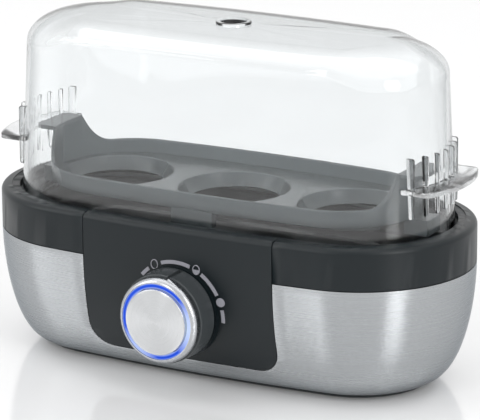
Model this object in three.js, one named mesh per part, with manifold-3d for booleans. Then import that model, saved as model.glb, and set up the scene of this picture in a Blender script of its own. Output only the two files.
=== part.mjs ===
// An electric egg boiler with three seats. An oval brushed steel skirt carries a black collar and a
// black control panel with a lit rotary knob. A heating dish hangs inside the collar, a smoked egg
// tray lifts out of it, and a clear lid with finger grips covers them.
// Millimetres, +Z up, the front faces -Y. The origin is on the table under the middle of the base.
import * as THREE from "three";
import { mergeVertices } from "three/addons/utils/BufferGeometryUtils.js";
import Module from "manifold-3d";

const wasm = await Module();
wasm.setup();

// Driving dimensions

const GAP = 0.3; // clearance between pieces that touch
const OVERRUN = 5; // how far a cut runs past what it cuts
const OVERLAP = 0.4; // how far a joined feature sinks into what carries it

const BODY = { halfLength: 95, halfWidth: 45, bow: 2.2 }; // bow: how far the long sides swell
const END_STEPS = 12;
const SIDE_STEPS = 4;
const KNOB_SIDES = 28;
const FINEST = 0.03; // faces closer to flat than this are merged

const SKIRT = { bottom: 2.5, height: 43.6, tuck: 15.15, wall: 1, flange: 5.85 };
const SKIRT_STEPS = 6;
const SKIRT_CURVE_POWER = 1.878; // how late the side wall starts to turn under
const SEAM = SKIRT.bottom + SKIRT.height;

const COLLAR = {
  height: 15.25,
  wall: 2.2,
  edgeRadius: 2,
  lipInset: 4.1,
  lipRise: 0.4,
  innerInset: 7,
  innerWall: 2,
  skirtDrop: 3,
  skirtWall: 1.9,
};
const COLLAR_TOP = SEAM + COLLAR.height;
const LEDGE = { inset: 15, drop: 2.4, thickness: 2.2, lip: 1, lipThickness: 0.9 };
const LEDGE_TOP = COLLAR_TOP - LEDGE.drop;
const LEDGE_UNDER = LEDGE_TOP - LEDGE.thickness;

const PANEL = { halfWidth: 39.66, bottom: 10, cornerRadius: 9, wall: 2.2, lip: 1.8, boltBoss: 2.8 };
const PLATE = { inset: 15.6, bottom: 0.9, lip: 1.3, plugInset: 21.4, plugTop: 5, rib: 1.6 };
const FOOT = { radius: 6, height: 1.8, endInset: 45, sideInset: 26 };
const POST = { radius: 3.6, inset: 25.8, angle: 55, topDrop: 5.8, web: 2.2, webDrop: 6.3, bore: 1.5 };
const POST_TOP = SEAM - POST.topDrop;
const SCREW = { radius: 1.2, head: 2.6, headHeight: 1.7, room: 0.3 };

const DISH = { rimInset: 9.5, depth: 6.45, wall: 1.2, wallInset: 15.5, wellInset: 31.5, wellDepth: 1 };
const SEAL = { outer: 10, inner: 13.5, thickness: 1.8 };
const DISH_TOP = LEDGE_UNDER - SEAL.thickness;
const DISH_FLOOR = DISH_TOP - DISH.depth;
const STUD = { radius: 1.5, reach: 12, length: 10 };
const CLAMP = {
  bossInset: 6.6,
  bossRadius: 2.5,
  width: 14,
  length: 8.4,
  thickness: 1.2,
  screwLength: 3.2,
};
const ELEMENT = { radius: 3.2, endInset: 45, clear: 1.3, opening: 9, drop: 9 };
const ELEMENT_SIDES = 8;
const ELEMENT_STEPS = 40;
const PIN = { radius: 1.2, length: 7 };

const THERMOSTAT = { x: -18, radius: 8, flange: 2, bodyRadius: 6.5, height: 8 };
const CLIP = { width: 8, thickness: 1, margin: 4 };
const NUT = { radius: 3, height: 2 };
const FUSE = { x: 20, radius: 2.5, length: 15, saddle: 1.2 };

const KNOB = {
  z: 29.9,
  standoff: 0.9,
  drumRadius: 17,
  drumTaper: 0.3,
  drumDepth: 8.8,
  faceDepth: 13.5,
  rimRadius: 16.4,
  rimInner: 14.85,
  lightInner: 12.6,
  capRadius: 12.3,
  wall: 1.8,
  chamfer: 0.6,
};
const KNOB_BASE = -BODY.halfWidth - KNOB.standoff;
const POINTER = { angle: 82, width: 1.8, depth: 0.7, nubRadius: 1.5, nubDepth: 1.8 };
const SHAFT = { radius: 3, flat: 0.9, hub: 5 };
const GUIDE = { inner: 5.6, outer: 8.2, flange: 11.5, flangeDepth: 1 };
const PEDESTAL = { radius: 17.4, depth: 7, coreInner: 12.6, coreOuter: 15.6, coreDepth: 5 };
const BOARD = { inset: 11.2, thickness: 1.6, halfWidth: 30, bottom: 13, top: 45, holeX: 25, holeZ: 40 };
const SWITCH = { half: 6, depth: 2.9, nose: 4.4, noseDepth: 2 };
const LED = { x: 9.6, size: 3 };
const RELAY = { x: 19, z: 21, width: 20, height: 13, depth: 10, corner: 1 };
const CAPACITOR = { x: -17, z: 20, width: 18, height: 11, depth: 8, corner: 2 };
const BUZZER = { x: -20, z: 35, radius: 4.5, depth: 6 };
const TERMINAL = { x: 34, y: 6, length: 24, width: 10, height: 9, wayRadius: 2.2 };
const TERMINAL_WAYS = 3;
const GROMMET = { x: 40, z: 22, neck: 4.4, flange: 6.4, bore: 3.2, flangeDepth: 1.5 };

const MARK = { radius: 19.3, width: 1.5, height: 0.3, symbol: 1.7, ring: 0.45 };

const LID = {
  inset: 8.03,
  wall: 1.5,
  height: 66.4,
  endDraft: 2.3,
  sideDraft: 4.3,
  endRound: 20.8,
  endDrop: 11.6,
  sideRound: 14,
  sideDrop: 6,
  dome: 0.6,
};
const LID_TOP = COLLAR_TOP + LID.height;
const LID_END_SHARE = 0.6; // how far the end's rounding reaches round towards the long sides
const LID_ROUND_STEPS = 5;
const DOME_SHARES = [0.5]; // where the roof has a row between its edge and its middle
const STEAM_HOLE = { radius: 5, ringWidth: 1.6, ringHeight: 0.8 };
const GRIP = { rise: 19.25, thickness: 1.6, halfAngle: 31, cornerRadius: 4 };
const RIB = { rise: 9.95, length: 22.3, thickness: 1.3, proud: 2.7 };
const RIB_COUNT = 7;
const RIB_FAN = 60; // the angle between the first rib and the last

const TRAY = { endInset: 20, sideInset: 13.8, bow: 1.6, rise: 5.25, depth: 7, floor: 1.8, wall: 1.4 };
const TRAY_OVAL = {
  halfLength: BODY.halfLength - TRAY.endInset,
  halfWidth: BODY.halfWidth - TRAY.sideInset,
  bow: TRAY.bow,
};
const TRAY_UNDER = LEDGE_TOP + TRAY.rise;
const TRAY_RIM = TRAY_UNDER + TRAY.depth;
const TRAY_STEPS = 14;
const SEAT = { endInset: 25, gap: 8.8, wall: 1.6, drop: 3 }; // gap: between one seat and the next
const SEAT_PITCH = TRAY_OVAL.halfLength - SEAT.endInset;
const SEAT_RADIUS = (SEAT_PITCH - SEAT.gap) / 2;
const SEAT_SIDES = 24;
const HANDLE = { rise: 11.4, halfWidth: 10, swoop: 11, tab: 7.4, tabThickness: 1.6 };
const HANDLE_TOP = TRAY_RIM + HANDLE.rise;
const LUG = { halfWidth: 8.5, root: 2.6, proud: 0.7, endHalfWidth: 5, endProud: 1.4 };
const WIRE = { radius: 1.1, bend: 6, clear: 0.4 };
const WIRE_SIDES = 6;
const WIRE_STEPS = 10;

// Helpers

const degrees = THREE.MathUtils.degToRad;

// A geometry as a solid, with its faces turned outwards whichever way round its outline was drawn.
function solid(geometry) {
  const bare = geometry.clone();
  bare.deleteAttribute("normal");
  bare.deleteAttribute("uv");
  const merged = mergeVertices(bare);
  const vertProperties = merged.attributes.position.array;
  const triVerts = new Uint32Array(merged.index.array);
  const made = new wasm.Manifold(new wasm.Mesh({ numProp: 3, vertProperties, triVerts }));
  if (made.volume() > 0) return made;
  return new wasm.Manifold(
    new wasm.Mesh({ numProp: 3, vertProperties, triVerts: triVerts.reverse() }),
  );
}

function meshOf(name, made, look) {
  const { vertProperties, triVerts } = made.simplify(FINEST).getMesh();
  const geometry = new THREE.BufferGeometry();
  geometry.setAttribute("position", new THREE.BufferAttribute(vertProperties, 3));
  geometry.setIndex(new THREE.BufferAttribute(triVerts, 1));
  geometry.computeVertexNormals();
  const mesh = new THREE.Mesh(geometry, look);
  mesh.name = name;
  return mesh;
}

const endRadiusOf = (oval) => oval.halfWidth - oval.bow;

function ovalCentres(oval) {
  const endRadius = endRadiusOf(oval);
  const reach = oval.halfLength - endRadius;
  const spare = oval.halfWidth ** 2 - endRadius ** 2 + reach ** 2;
  const sideRadius = spare / (2 * oval.bow);
  const drop = sideRadius - oval.halfWidth;
  return { endRadius, reach, sideRadius, drop, turn: Math.atan2(drop, reach) };
}

// The points of a four-arc oval drawn in by inset, anticlockwise from above, each with its outward normal.
function ovalPoints(oval, inset, endSteps = END_STEPS, sideSteps = SIDE_STEPS) {
  const { endRadius, reach, sideRadius, drop, turn } = ovalCentres(oval);
  const arcs = [
    { x: reach, y: 0, radius: endRadius, from: -turn, to: turn, steps: endSteps },
    { x: 0, y: -drop, radius: sideRadius, from: turn, to: Math.PI - turn, steps: sideSteps },
    { x: -reach, y: 0, radius: endRadius, from: Math.PI - turn, to: Math.PI + turn, steps: endSteps },
    { x: 0, y: drop, radius: sideRadius, from: Math.PI + turn, to: 2 * Math.PI - turn, steps: sideSteps },
  ];
  return arcs.flatMap((arc) =>
    Array.from({ length: arc.steps }, (_, i) => {
      const angle = arc.from + ((arc.to - arc.from) * i) / arc.steps;
      const nx = Math.cos(angle);
      const ny = Math.sin(angle);
      const radius = arc.radius - inset;
      return { x: arc.x + radius * nx, y: arc.y + radius * ny, nx, ny };
    }),
  );
}

// Rows of points joined into a closed surface: a ring when closed, otherwise capped at both ends.
function loft(rows, closed) {
  const count = rows[0].length;
  const places = rows.flat().flatMap((p) => [p.x, p.y, p.z]);
  const index = [];
  const last = closed ? rows.length : rows.length - 1;
  for (let row = 0; row < last; row++) {
    const next = (row + 1) % rows.length;
    for (let i = 0; i < count; i++) {
      const j = (i + 1) % count;
      const [a, b, c, d] = [row * count + i, row * count + j, next * count + j, next * count + i];
      index.push(a, b, c, a, c, d);
    }
  }
  if (!closed) {
    for (const [row, order] of [
      [0, 1],
      [rows.length - 1, -1],
    ]) {
      const centre = places.length / 3;
      const middle = new THREE.Vector3();
      rows[row].forEach((p) => middle.add(p));
      middle.divideScalar(count);
      places.push(middle.x, middle.y, middle.z);
      for (let i = 0; i < count; i++) {
        const pair = [row * count + i, row * count + ((i + 1) % count)];
        if (order > 0) pair.reverse();
        index.push(...pair, centre);
      }
    }
  }
  const geometry = new THREE.BufferGeometry();
  geometry.setAttribute("position", new THREE.Float32BufferAttribute(places, 3));
  geometry.setIndex(index);
  return solid(geometry);
}

const rowAt = (oval, [inset, z]) => ovalPoints(oval, inset).map((p) => new THREE.Vector3(p.x, p.y, z));
const ring = (oval, profile) => loft(profile.map((point) => rowAt(oval, point)), true);
const disc = (oval, profile) => loft(profile.map((point) => rowAt(oval, point)), false);

// Points on an arc in a profile, from and to in degrees.
function arc(x, y, radius, from, to, steps) {
  return Array.from({ length: steps + 1 }, (_, i) => {
    const angle = degrees(from + ((to - from) * i) / steps);
    return [x + radius * Math.cos(angle), y + radius * Math.sin(angle)];
  });
}

// A profile drawn off to its left by a distance.
function offset(profile, distance) {
  return profile.map((point, i) => {
    const before = profile[Math.max(i - 1, 0)];
    const after = profile[Math.min(i + 1, profile.length - 1)];
    const dx = after[0] - before[0];
    const dy = after[1] - before[1];
    const length = Math.hypot(dx, dy);
    return [point[0] - (dy / length) * distance, point[1] + (dx / length) * distance];
  });
}

function shapeOf(points) {
  return new THREE.Shape(points.map(([x, y]) => new THREE.Vector2(x, y)));
}

function extruded(shape, depth, curveSegments = 8) {
  return new THREE.ExtrudeGeometry(shape, { depth, bevelEnabled: false, curveSegments });
}

// A shape drawn in X and Z, and carried along Y from a front plane towards the back.
function alongY(shape, front, depth, curveSegments) {
  return solid(
    extruded(shape, depth, curveSegments)
      .rotateX(Math.PI / 2)
      .translate(0, front + depth, 0),
  );
}

// A turned piece on an upright axis. The profile holds [radius, z] and closes on itself.
function turned(profile, sides, x = 0, y = 0) {
  const points = [...profile, profile[0]].map(([radius, z]) => new THREE.Vector2(radius, z));
  return solid(new THREE.LatheGeometry(points, sides).rotateX(Math.PI / 2).translate(x, y, 0));
}

// A turned piece on an axis along Y. The profile holds [radius, depth], with depth towards the front.
function turnedForward(profile, sides, x, y, z) {
  const points = [...profile, profile[0]].map(([radius, depth]) => new THREE.Vector2(radius, depth));
  return solid(new THREE.LatheGeometry(points, sides).rotateX(Math.PI).translate(x, y, z));
}

function rod(radius, from, to, sides, x, y) {
  const geometry = new THREE.CylinderGeometry(radius, radius, to - from, sides);
  return solid(geometry.rotateX(Math.PI / 2).translate(x, y, (from + to) / 2));
}

function rodAlongY(radius, from, to, sides, x, z) {
  const geometry = new THREE.CylinderGeometry(radius, radius, to - from, sides);
  return solid(geometry.translate(x, (from + to) / 2, z));
}

function block(low, high) {
  const size = high.map((value, i) => value - low[i]);
  const middle = high.map((value, i) => (value + low[i]) / 2);
  return solid(new THREE.BoxGeometry(...size).translate(...middle));
}

function roundedRectangle(halfWidth, halfHeight, radius) {
  const shape = new THREE.Shape();
  shape.absarc(halfWidth - radius, halfHeight - radius, radius, 0, Math.PI / 2);
  shape.absarc(radius - halfWidth, halfHeight - radius, radius, Math.PI / 2, Math.PI);
  shape.absarc(radius - halfWidth, radius - halfHeight, radius, Math.PI, 1.5 * Math.PI);
  shape.absarc(halfWidth - radius, radius - halfHeight, radius, 1.5 * Math.PI, 2 * Math.PI);
  return shape;
}

// A round tube along straight runs, with every corner rounded by a bend.
function tube(points, bend, radius, sides, steps) {
  const section = shapeOf(
    Array.from({ length: sides }, (_, i) => {
      const angle = (2 * Math.PI * i) / sides;
      return [radius * Math.cos(angle), radius * Math.sin(angle)];
    }),
  );
  const places = points.map((p) => new THREE.Vector3(...p));
  const path = new THREE.CurvePath();
  let from = places[0];
  for (let i = 1; i < places.length - 1; i++) {
    const [before, corner, after] = [places[i - 1], places[i], places[i + 1]];
    const room = Math.min(bend, before.distanceTo(corner) / 2, after.distanceTo(corner) / 2);
    const start = corner.clone().lerp(before, room / before.distanceTo(corner));
    const end = corner.clone().lerp(after, room / after.distanceTo(corner));
    path.add(new THREE.LineCurve3(from, start));
    path.add(new THREE.QuadraticBezierCurve3(start, corner, end));
    from = end;
  }
  path.add(new THREE.LineCurve3(from, places[places.length - 1]));
  return solid(new THREE.ExtrudeGeometry(section, { steps, extrudePath: path }));
}

// Looks

const look = (color, roughness, metalness = 0, opacity = 1) =>
  new THREE.MeshStandardMaterial({ color, roughness, metalness, opacity, transparent: opacity < 1 });
const brushedSteel = look(0xc4c6c8, 0.35, 1);
const blackPlastic = look(0x2c3134, 0.35);
const smokedPlastic = look(0x6c7378, 0.25, 0, 0.8);
const clearPlastic = look(0xe8eef0, 0.05, 0, 0.3);
const darkCoating = look(0x1d1e20, 0.5);
const zincSteel = look(0xb4b6b8, 0.45, 1);
const brushedAluminium = look(0xd8dadb, 0.3, 1);
const chrome = look(0xe2e4e6, 0.12, 1);
const blueLight = look(0x1c4fd8, 0.3);
const rubber = look(0x18191a, 0.85);
const silicone = look(0x9a9d9f, 0.7);
const brass = look(0xb9984f, 0.35, 1);
const boardGreen = look(0x1f5a38, 0.6);
const partBlack = look(0x1b1c1e, 0.5);
const partBlue = look(0x2c5f9e, 0.5);
const partIvory = look(0xd8d3c2, 0.5);
const frosted = look(0xeef2f6, 0.5, 0, 0.7);
const wireRed = look(0x9e2b25, 0.6);
const wireBlue = look(0x27509a, 0.6);

// The outer wall that the skirt, the collar and the panel share

function wallInset(z) {
  const share = Math.min(Math.max((SEAM - z) / SKIRT.height, 0), 1);
  return SKIRT.tuck * (1 - Math.sqrt(1 - share ** SKIRT_CURVE_POWER));
}

function wallCurve(lowest, highest, steps) {
  const angleOf = (z) => Math.asin(Math.min((SEAM - z) / SKIRT.height, 1));
  const from = angleOf(highest);
  const to = angleOf(lowest);
  return Array.from({ length: steps + 1 }, (_, i) => {
    const z = SEAM - SKIRT.height * Math.sin(from + ((to - from) * i) / steps);
    return [wallInset(z), z];
  });
}

const surfaceY = (z) => wallInset(z) - BODY.halfWidth;

// The opening that the control panel fills, drawn in by a clearance.
function panelPrism(clearance) {
  const halfWidth = PANEL.halfWidth - clearance;
  const bottom = PANEL.bottom + clearance;
  const radius = PANEL.cornerRadius - clearance;
  const top = COLLAR_TOP + OVERRUN;
  const shape = new THREE.Shape();
  shape.moveTo(halfWidth, top);
  shape.lineTo(-halfWidth, top);
  shape.absarc(radius - halfWidth, bottom + radius, radius, Math.PI, 1.5 * Math.PI);
  shape.absarc(halfWidth - radius, bottom + radius, radius, 1.5 * Math.PI, 2 * Math.PI);
  return alongY(shape, -BODY.halfWidth - OVERRUN, BODY.halfWidth, 5);
}

// The collar's rim in section, from the seam up its outer face to the lip.
function rimProfile() {
  const { edgeRadius, lipInset, lipRise } = COLLAR;
  return [
    [0, SEAM],
    ...arc(edgeRadius, COLLAR_TOP - edgeRadius, edgeRadius, 180, 90, 3),
    [lipInset, COLLAR_TOP + lipRise],
  ];
}

// A geometry made along +Y, set square on the rear wall where the cord comes out.
function onRearWall(geometry) {
  const { x, z } = GROMMET;
  const { sideRadius, drop } = ovalCentres(BODY);
  const y = Math.sqrt((sideRadius - wallInset(z)) ** 2 - x ** 2) - drop;
  const tilt = Math.atan2(wallInset(z - GAP) - wallInset(z + GAP), 2 * GAP);
  return geometry
    .rotateX(-tilt)
    .rotateZ(-Math.asin(x / sideRadius))
    .translate(x, y, z);
}

// Base

function steelSkirt() {
  const outer = wallCurve(SKIRT.bottom, SEAM - GAP, SKIRT_STEPS);
  const inner = offset(outer, SKIRT.wall);
  const flangeInset = SKIRT.tuck + SKIRT.flange;
  const profile = [
    ...outer,
    [flangeInset, SKIRT.bottom],
    [flangeInset, SKIRT.bottom + SKIRT.wall],
    ...inner.reverse(),
  ];
  const hole = new THREE.CylinderGeometry(
    GROMMET.neck + GAP,
    GROMMET.neck + GAP,
    2 * GROMMET.flange,
    14,
  );
  return ring(BODY, profile).subtract(panelPrism(0)).subtract(solid(onRearWall(hole)));
}

function grommet() {
  const { neck, flange, bore, flangeDepth } = GROMMET;
  const inner = SKIRT.wall + 3 * GAP;
  const profile = [
    [bore, flangeDepth + GAP],
    [flange - flangeDepth / 2, flangeDepth + GAP],
    [flange, GAP],
    [neck, GAP],
    [neck, -inner],
    [flange, -inner],
    [flange, -inner - flangeDepth],
    [bore, -inner - flangeDepth],
  ];
  const points = [...profile, profile[0]].map(([radius, depth]) => new THREE.Vector2(radius, depth));
  return solid(onRearWall(new THREE.LatheGeometry(points, 12)));
}

const POST_REACH = endRadiusOf(BODY) - POST.inset;

// The place of a screw post, from its corner's signs.
function postAt(signX, signY) {
  const { reach } = ovalCentres(BODY);
  const angle = degrees(POST.angle);
  return [signX * (reach + POST_REACH * Math.cos(angle)), signY * POST_REACH * Math.sin(angle)];
}
const CORNERS = [
  ["front_left", -1, -1],
  ["front_right", 1, -1],
  ["back_left", -1, 1],
  ["back_right", 1, 1],
];
const SIDES = [
  ["left", 1, 0, Math.PI],
  ["right", 1, 0, 0],
  ["back", 0, 1, Math.PI / 2],
  ["front", 0, 1, -Math.PI / 2],
];

const collarRadius = (inset) => endRadiusOf(BODY) - inset;

function screwPost(signX, signY) {
  const [x, y] = postAt(signX, signY);
  const { reach } = ovalCentres(BODY);
  const skirtInset = SKIRT.wall + GAP + COLLAR.skirtWall;
  const outer = collarRadius(skirtInset - OVERLAP);
  const innerWall = collarRadius(skirtInset + COLLAR.wall);
  const webTop = SEAM - COLLAR.skirtDrop + COLLAR.wall;
  const web = shapeOf([
    [POST_REACH, POST_TOP - POST.webDrop],
    [outer, POST_TOP],
    [outer, webTop],
    [innerWall, webTop],
    [POST_REACH, POST_TOP],
  ]);
  const angle = Math.atan2(y, x - signX * reach);
  const webSolid = solid(
    extruded(web, POST.web)
      .translate(0, 0, -POST.web / 2)
      .rotateX(Math.PI / 2)
      .rotateZ(angle)
      .translate(signX * reach, 0, 0),
  );
  return rod(POST.radius, PLATE.plugTop + GAP, POST_TOP, 8, x, y).add(webSolid);
}

const CLAMP_TOP = DISH_TOP - DISH.wall - GAP;
const LIP_UNDER = LEDGE_TOP - LEDGE.lipThickness;

// The place of a dish clamp's boss on the middle of one side.
function bossAt(alongX, alongY) {
  return [
    alongX * (BODY.halfLength - CLAMP.bossInset),
    alongY * (BODY.halfWidth - CLAMP.bossInset),
  ];
}

function turnedPlace([x, y], angle) {
  const distance = Math.hypot(x, y);
  return [distance * Math.cos(angle), distance * Math.sin(angle)];
}

function collar() {
  const inner = SKIRT.wall + GAP;
  const skirtInset = inner + COLLAR.skirtWall;
  const wallEnd = COLLAR.innerInset - COLLAR.innerWall;
  const roof = COLLAR_TOP - COLLAR.wall;
  const wallUnder = LEDGE_UNDER - COLLAR.innerWall;
  const profile = [
    [0, SEAM],
    ...rimProfile().slice(1),
    [COLLAR.lipInset, COLLAR_TOP],
    [COLLAR.innerInset, COLLAR_TOP],
    [COLLAR.innerInset, LEDGE_TOP],
    [COLLAR.innerInset + LEDGE.lip, LEDGE_TOP],
    [COLLAR.innerInset + LEDGE.lip, LIP_UNDER],
    [COLLAR.innerInset, LIP_UNDER],
    [COLLAR.innerInset, wallUnder],
    [wallEnd, wallUnder],
    [wallEnd, roof],
    [skirtInset, roof],
    [skirtInset, SEAM - COLLAR.skirtDrop],
    [inner, SEAM - COLLAR.skirtDrop],
    [inner, SEAM],
  ];
  const lipCut = COLLAR.lipInset + GAP;
  const room = ring(BODY, [
    [-OVERRUN, SKIRT.bottom],
    [-OVERRUN, COLLAR_TOP + OVERRUN],
    [lipCut, COLLAR_TOP + OVERRUN],
    [lipCut, SKIRT.bottom],
  ]).intersect(panelPrism(0));
  let made = ring(BODY, profile).subtract(room);
  for (const [, signX, signY] of CORNERS) made = made.add(screwPost(signX, signY));
  for (const [, alongX, alongY, angle] of SIDES) {
    const [x, y] = turnedPlace(bossAt(alongX, alongY), angle);
    made = made.add(rod(CLAMP.bossRadius, CLAMP_TOP + GAP, LEDGE_UNDER - GAP, 8, x, y));
    made = made.subtract(rod(POST.bore, CLAMP_TOP - GAP, LEDGE_UNDER - 3 * GAP, 6, x, y));
  }
  for (const [, signX, signY] of CORNERS) {
    const [x, y] = postAt(signX, signY);
    made = made.subtract(rod(POST.bore, SKIRT.bottom, POST_TOP / 2, 6, x, y));
  }
  return made;
}

// The heat-proof ring that lid and tray stand on. It lies under the collar's lip, held up by the dish.
function ledgeRing() {
  const outer = COLLAR.innerInset + GAP;
  const shoulder = outer + LEDGE.lip;
  return ring(BODY, [
    [shoulder, LEDGE_TOP],
    [LEDGE.inset, LEDGE_TOP],
    [LEDGE.inset, LEDGE_UNDER],
    [outer, LEDGE_UNDER],
    [outer, LIP_UNDER - GAP],
    [shoulder, LIP_UNDER - GAP],
  ]);
}

// A screw that points up, with its head's underside at a height.
function upScrew(x, y, seat, length) {
  const low = seat - SCREW.headHeight;
  return turned(
    [
      [0, low + SCREW.room],
      [SCREW.radius, low],
      [SCREW.head, low],
      [SCREW.head, seat],
      [SCREW.radius, seat],
      [SCREW.radius, seat + length - SCREW.radius],
      [0, seat + length],
    ],
    8,
    x,
    y,
  );
}

const PLATE_SEAT = PLATE.bottom + PLATE.lip + GAP + SCREW.headHeight - SCREW.room;

function basePlate() {
  const lipTop = PLATE.bottom + PLATE.lip;
  let made = disc(BODY, [
    [PLATE.inset + PLATE.lip / 2, PLATE.bottom],
    [PLATE.inset, PLATE.bottom + PLATE.lip / 2],
    [PLATE.inset, lipTop],
    [PLATE.plugInset, lipTop],
    [PLATE.plugInset, PLATE.plugTop],
    [PLATE.plugInset + PLATE.rib, PLATE.plugTop],
    [PLATE.plugInset + PLATE.rib, lipTop + PLATE.rib],
  ]);
  for (const [, signX, signY] of CORNERS) {
    const [x, y] = postAt(signX, signY);
    made = made.add(rod(SCREW.head + GAP + PLATE.lip, PLATE.bottom, PLATE.plugTop, 8, x, y));
    made = made.subtract(rod(SCREW.head + GAP, -OVERRUN, PLATE_SEAT - GAP, 8, x, y));
    made = made.subtract(rod(SCREW.radius + GAP, -OVERRUN, PLATE.plugTop + OVERRUN, 6, x, y));
    made = made.subtract(
      rod(FOOT.radius + GAP, -OVERRUN, FOOT.height + GAP, 12, ...footAt(signX, signY)),
    );
  }
  return made;
}

function footAt(signX, signY) {
  return [signX * (BODY.halfLength - FOOT.endInset), signY * (BODY.halfWidth - FOOT.sideInset)];
}

function foot(signX, signY) {
  const chamfer = FOOT.radius / 8;
  return turned(
    [
      [0, 0],
      [FOOT.radius - chamfer, 0],
      [FOOT.radius, chamfer],
      [FOOT.radius, FOOT.height],
      [0, FOOT.height],
    ],
    12,
    ...footAt(signX, signY),
  );
}

// Control panel

function markShape(from, to) {
  const shape = new THREE.Shape();
  const outer = MARK.radius + MARK.width / 2;
  const inner = MARK.radius - MARK.width / 2;
  shape.absarc(0, 0, outer, degrees(from), degrees(to), false);
  shape.absarc(0, 0, inner, degrees(to), degrees(from), true);
  return shape;
}

function symbolAt(angle) {
  const turn = degrees(angle);
  const centre = MARK.radius + MARK.ring;
  return [centre * Math.cos(turn), centre * Math.sin(turn)];
}

function fullCircle(angle, radius) {
  const [x, y] = symbolAt(angle);
  return new THREE.Shape().absarc(x, y, radius, 0, 2 * Math.PI);
}

function ringSymbol(angle) {
  const shape = fullCircle(angle, MARK.symbol);
  shape.holes.push(fullCircle(angle, MARK.symbol - MARK.ring));
  return shape;
}

function halfDisc(angle) {
  const [x, y] = symbolAt(angle);
  return new THREE.Shape().absarc(x, y, MARK.symbol - MARK.ring / 2, Math.PI, 2 * Math.PI);
}

// The cooking scale round the knob: bars that sweep clockwise past an empty, a half full and a full circle.
const SCALE_BARS = [
  [129, 141],
  [74, 111],
  [26, 57],
  [-5, 9],
];
const SCALE_SYMBOLS = { empty: 120, half: 65.5, full: 18 };

function scaleMarks() {
  const shapes = [
    ...SCALE_BARS.map(([from, to]) => markShape(from, to)),
    ringSymbol(SCALE_SYMBOLS.empty),
    ringSymbol(SCALE_SYMBOLS.half),
    halfDisc(SCALE_SYMBOLS.half),
    fullCircle(SCALE_SYMBOLS.full, MARK.symbol),
  ];
  const depth = BODY.halfWidth / 2;
  const reach = MARK.radius + MARK.symbol + MARK.width;
  const skin = wallCurve(KNOB.z - reach, KNOB.z + reach, 4);
  const raised = offset(skin, -MARK.height);
  const layer = ring(BODY, [...raised, ...offset(skin, MARK.height).reverse()]);
  let made = null;
  for (const shape of shapes) {
    const prism = solid(
      extruded(shape, depth, 5)
        .rotateX(Math.PI / 2)
        .translate(0, -BODY.halfWidth + depth / 2, KNOB.z),
    );
    const mark = prism.intersect(layer);
    made = made ? made.add(mark) : mark;
  }
  return made;
}

const PEDESTAL_FRONT = KNOB_BASE + GAP;
const PEDESTAL_BACK = PEDESTAL_FRONT + PEDESTAL.depth;
const BOARD_FRONT = BOARD.inset - BODY.halfWidth;
const BOARD_BACK = BOARD_FRONT + BOARD.thickness;

function controlPanel() {
  const skin = wallCurve(PANEL.bottom - PANEL.wall, SEAM, SKIRT_STEPS);
  const outer = [...rimProfile().slice(1).reverse(), ...skin];
  const under = COLLAR_TOP - PANEL.lip;
  const inner = [[COLLAR.lipInset, under], [PANEL.wall, under], ...offset(skin, PANEL.wall)];
  let made = ring(BODY, [...outer, ...inner.reverse()]).intersect(panelPrism(GAP));
  made = made.add(rodAlongY(PEDESTAL.radius, PEDESTAL_FRONT, PEDESTAL_BACK, KNOB_SIDES, 0, KNOB.z));
  const core = new THREE.Shape().absarc(0, 0, PEDESTAL.coreOuter, 0, 2 * Math.PI);
  core.holes.push(new THREE.Path().absarc(0, 0, PEDESTAL.coreInner, 0, 2 * Math.PI));
  const coreFront = PEDESTAL_BACK - PEDESTAL.coreDepth;
  const coreCut = extruded(core, PEDESTAL.coreDepth + OVERRUN, 12).rotateX(Math.PI / 2);
  coreCut.translate(0, coreFront + PEDESTAL.coreDepth + OVERRUN, KNOB.z);
  for (const side of [-1, 1]) {
    const x = side * BOARD.holeX;
    made = made.add(
      rodAlongY(PANEL.boltBoss, -BODY.halfWidth + PANEL.wall, BOARD_FRONT - GAP, 10, x, BOARD.holeZ),
    );
  }
  made = made.subtract(solid(coreCut));
  const bore = GUIDE.outer + GAP;
  made = made.subtract(
    rodAlongY(bore, -BODY.halfWidth - OVERRUN, PEDESTAL_BACK + OVERRUN, 24, 0, KNOB.z),
  );
  for (const side of [-1, 1]) {
    const x = side * BOARD.holeX;
    made = made.subtract(
      rodAlongY(SCREW.radius + GAP, BOARD_FRONT - OVERRUN, BOARD_FRONT, 8, x, BOARD.holeZ),
    );
  }
  return made.add(scaleMarks());
}

// Heating

function heatingDish() {
  const { rimInset, wall, wallInset: wallAt, wellInset, wellDepth } = DISH;
  const top = [
    [rimInset, DISH_TOP],
    [wallAt - wall, DISH_TOP],
    [wallAt, DISH_TOP - wall],
    [wallAt + wall, DISH_FLOOR + wall],
    [wallAt + 2 * wall, DISH_FLOOR],
    [wellInset, DISH_FLOOR],
    [wellInset + wellDepth, DISH_FLOOR - wellDepth],
  ];
  const under = offset(top, -wall);
  let made = disc(BODY, [...under.reverse(), ...top]);
  for (const side of [-1, 1]) {
    const x = THERMOSTAT.x + side * STUD.reach;
    const studTop = WELL_UNDER + OVERLAP;
    made = made.add(rod(STUD.radius, studTop - STUD.length - OVERLAP, studTop, 8, x, 0));
  }
  return made;
}

const WELL_UNDER = DISH_FLOOR - DISH.wellDepth - DISH.wall;

function dishSeal() {
  const low = DISH_TOP + GAP;
  const high = LEDGE_UNDER - GAP;
  const bulge = (high - low) / 4;
  return ring(BODY, [
    [SEAL.outer, low],
    [SEAL.outer - bulge, (low + high) / 2],
    [SEAL.outer, high],
    [SEAL.inner, high],
    [SEAL.inner, low],
  ]);
}

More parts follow.
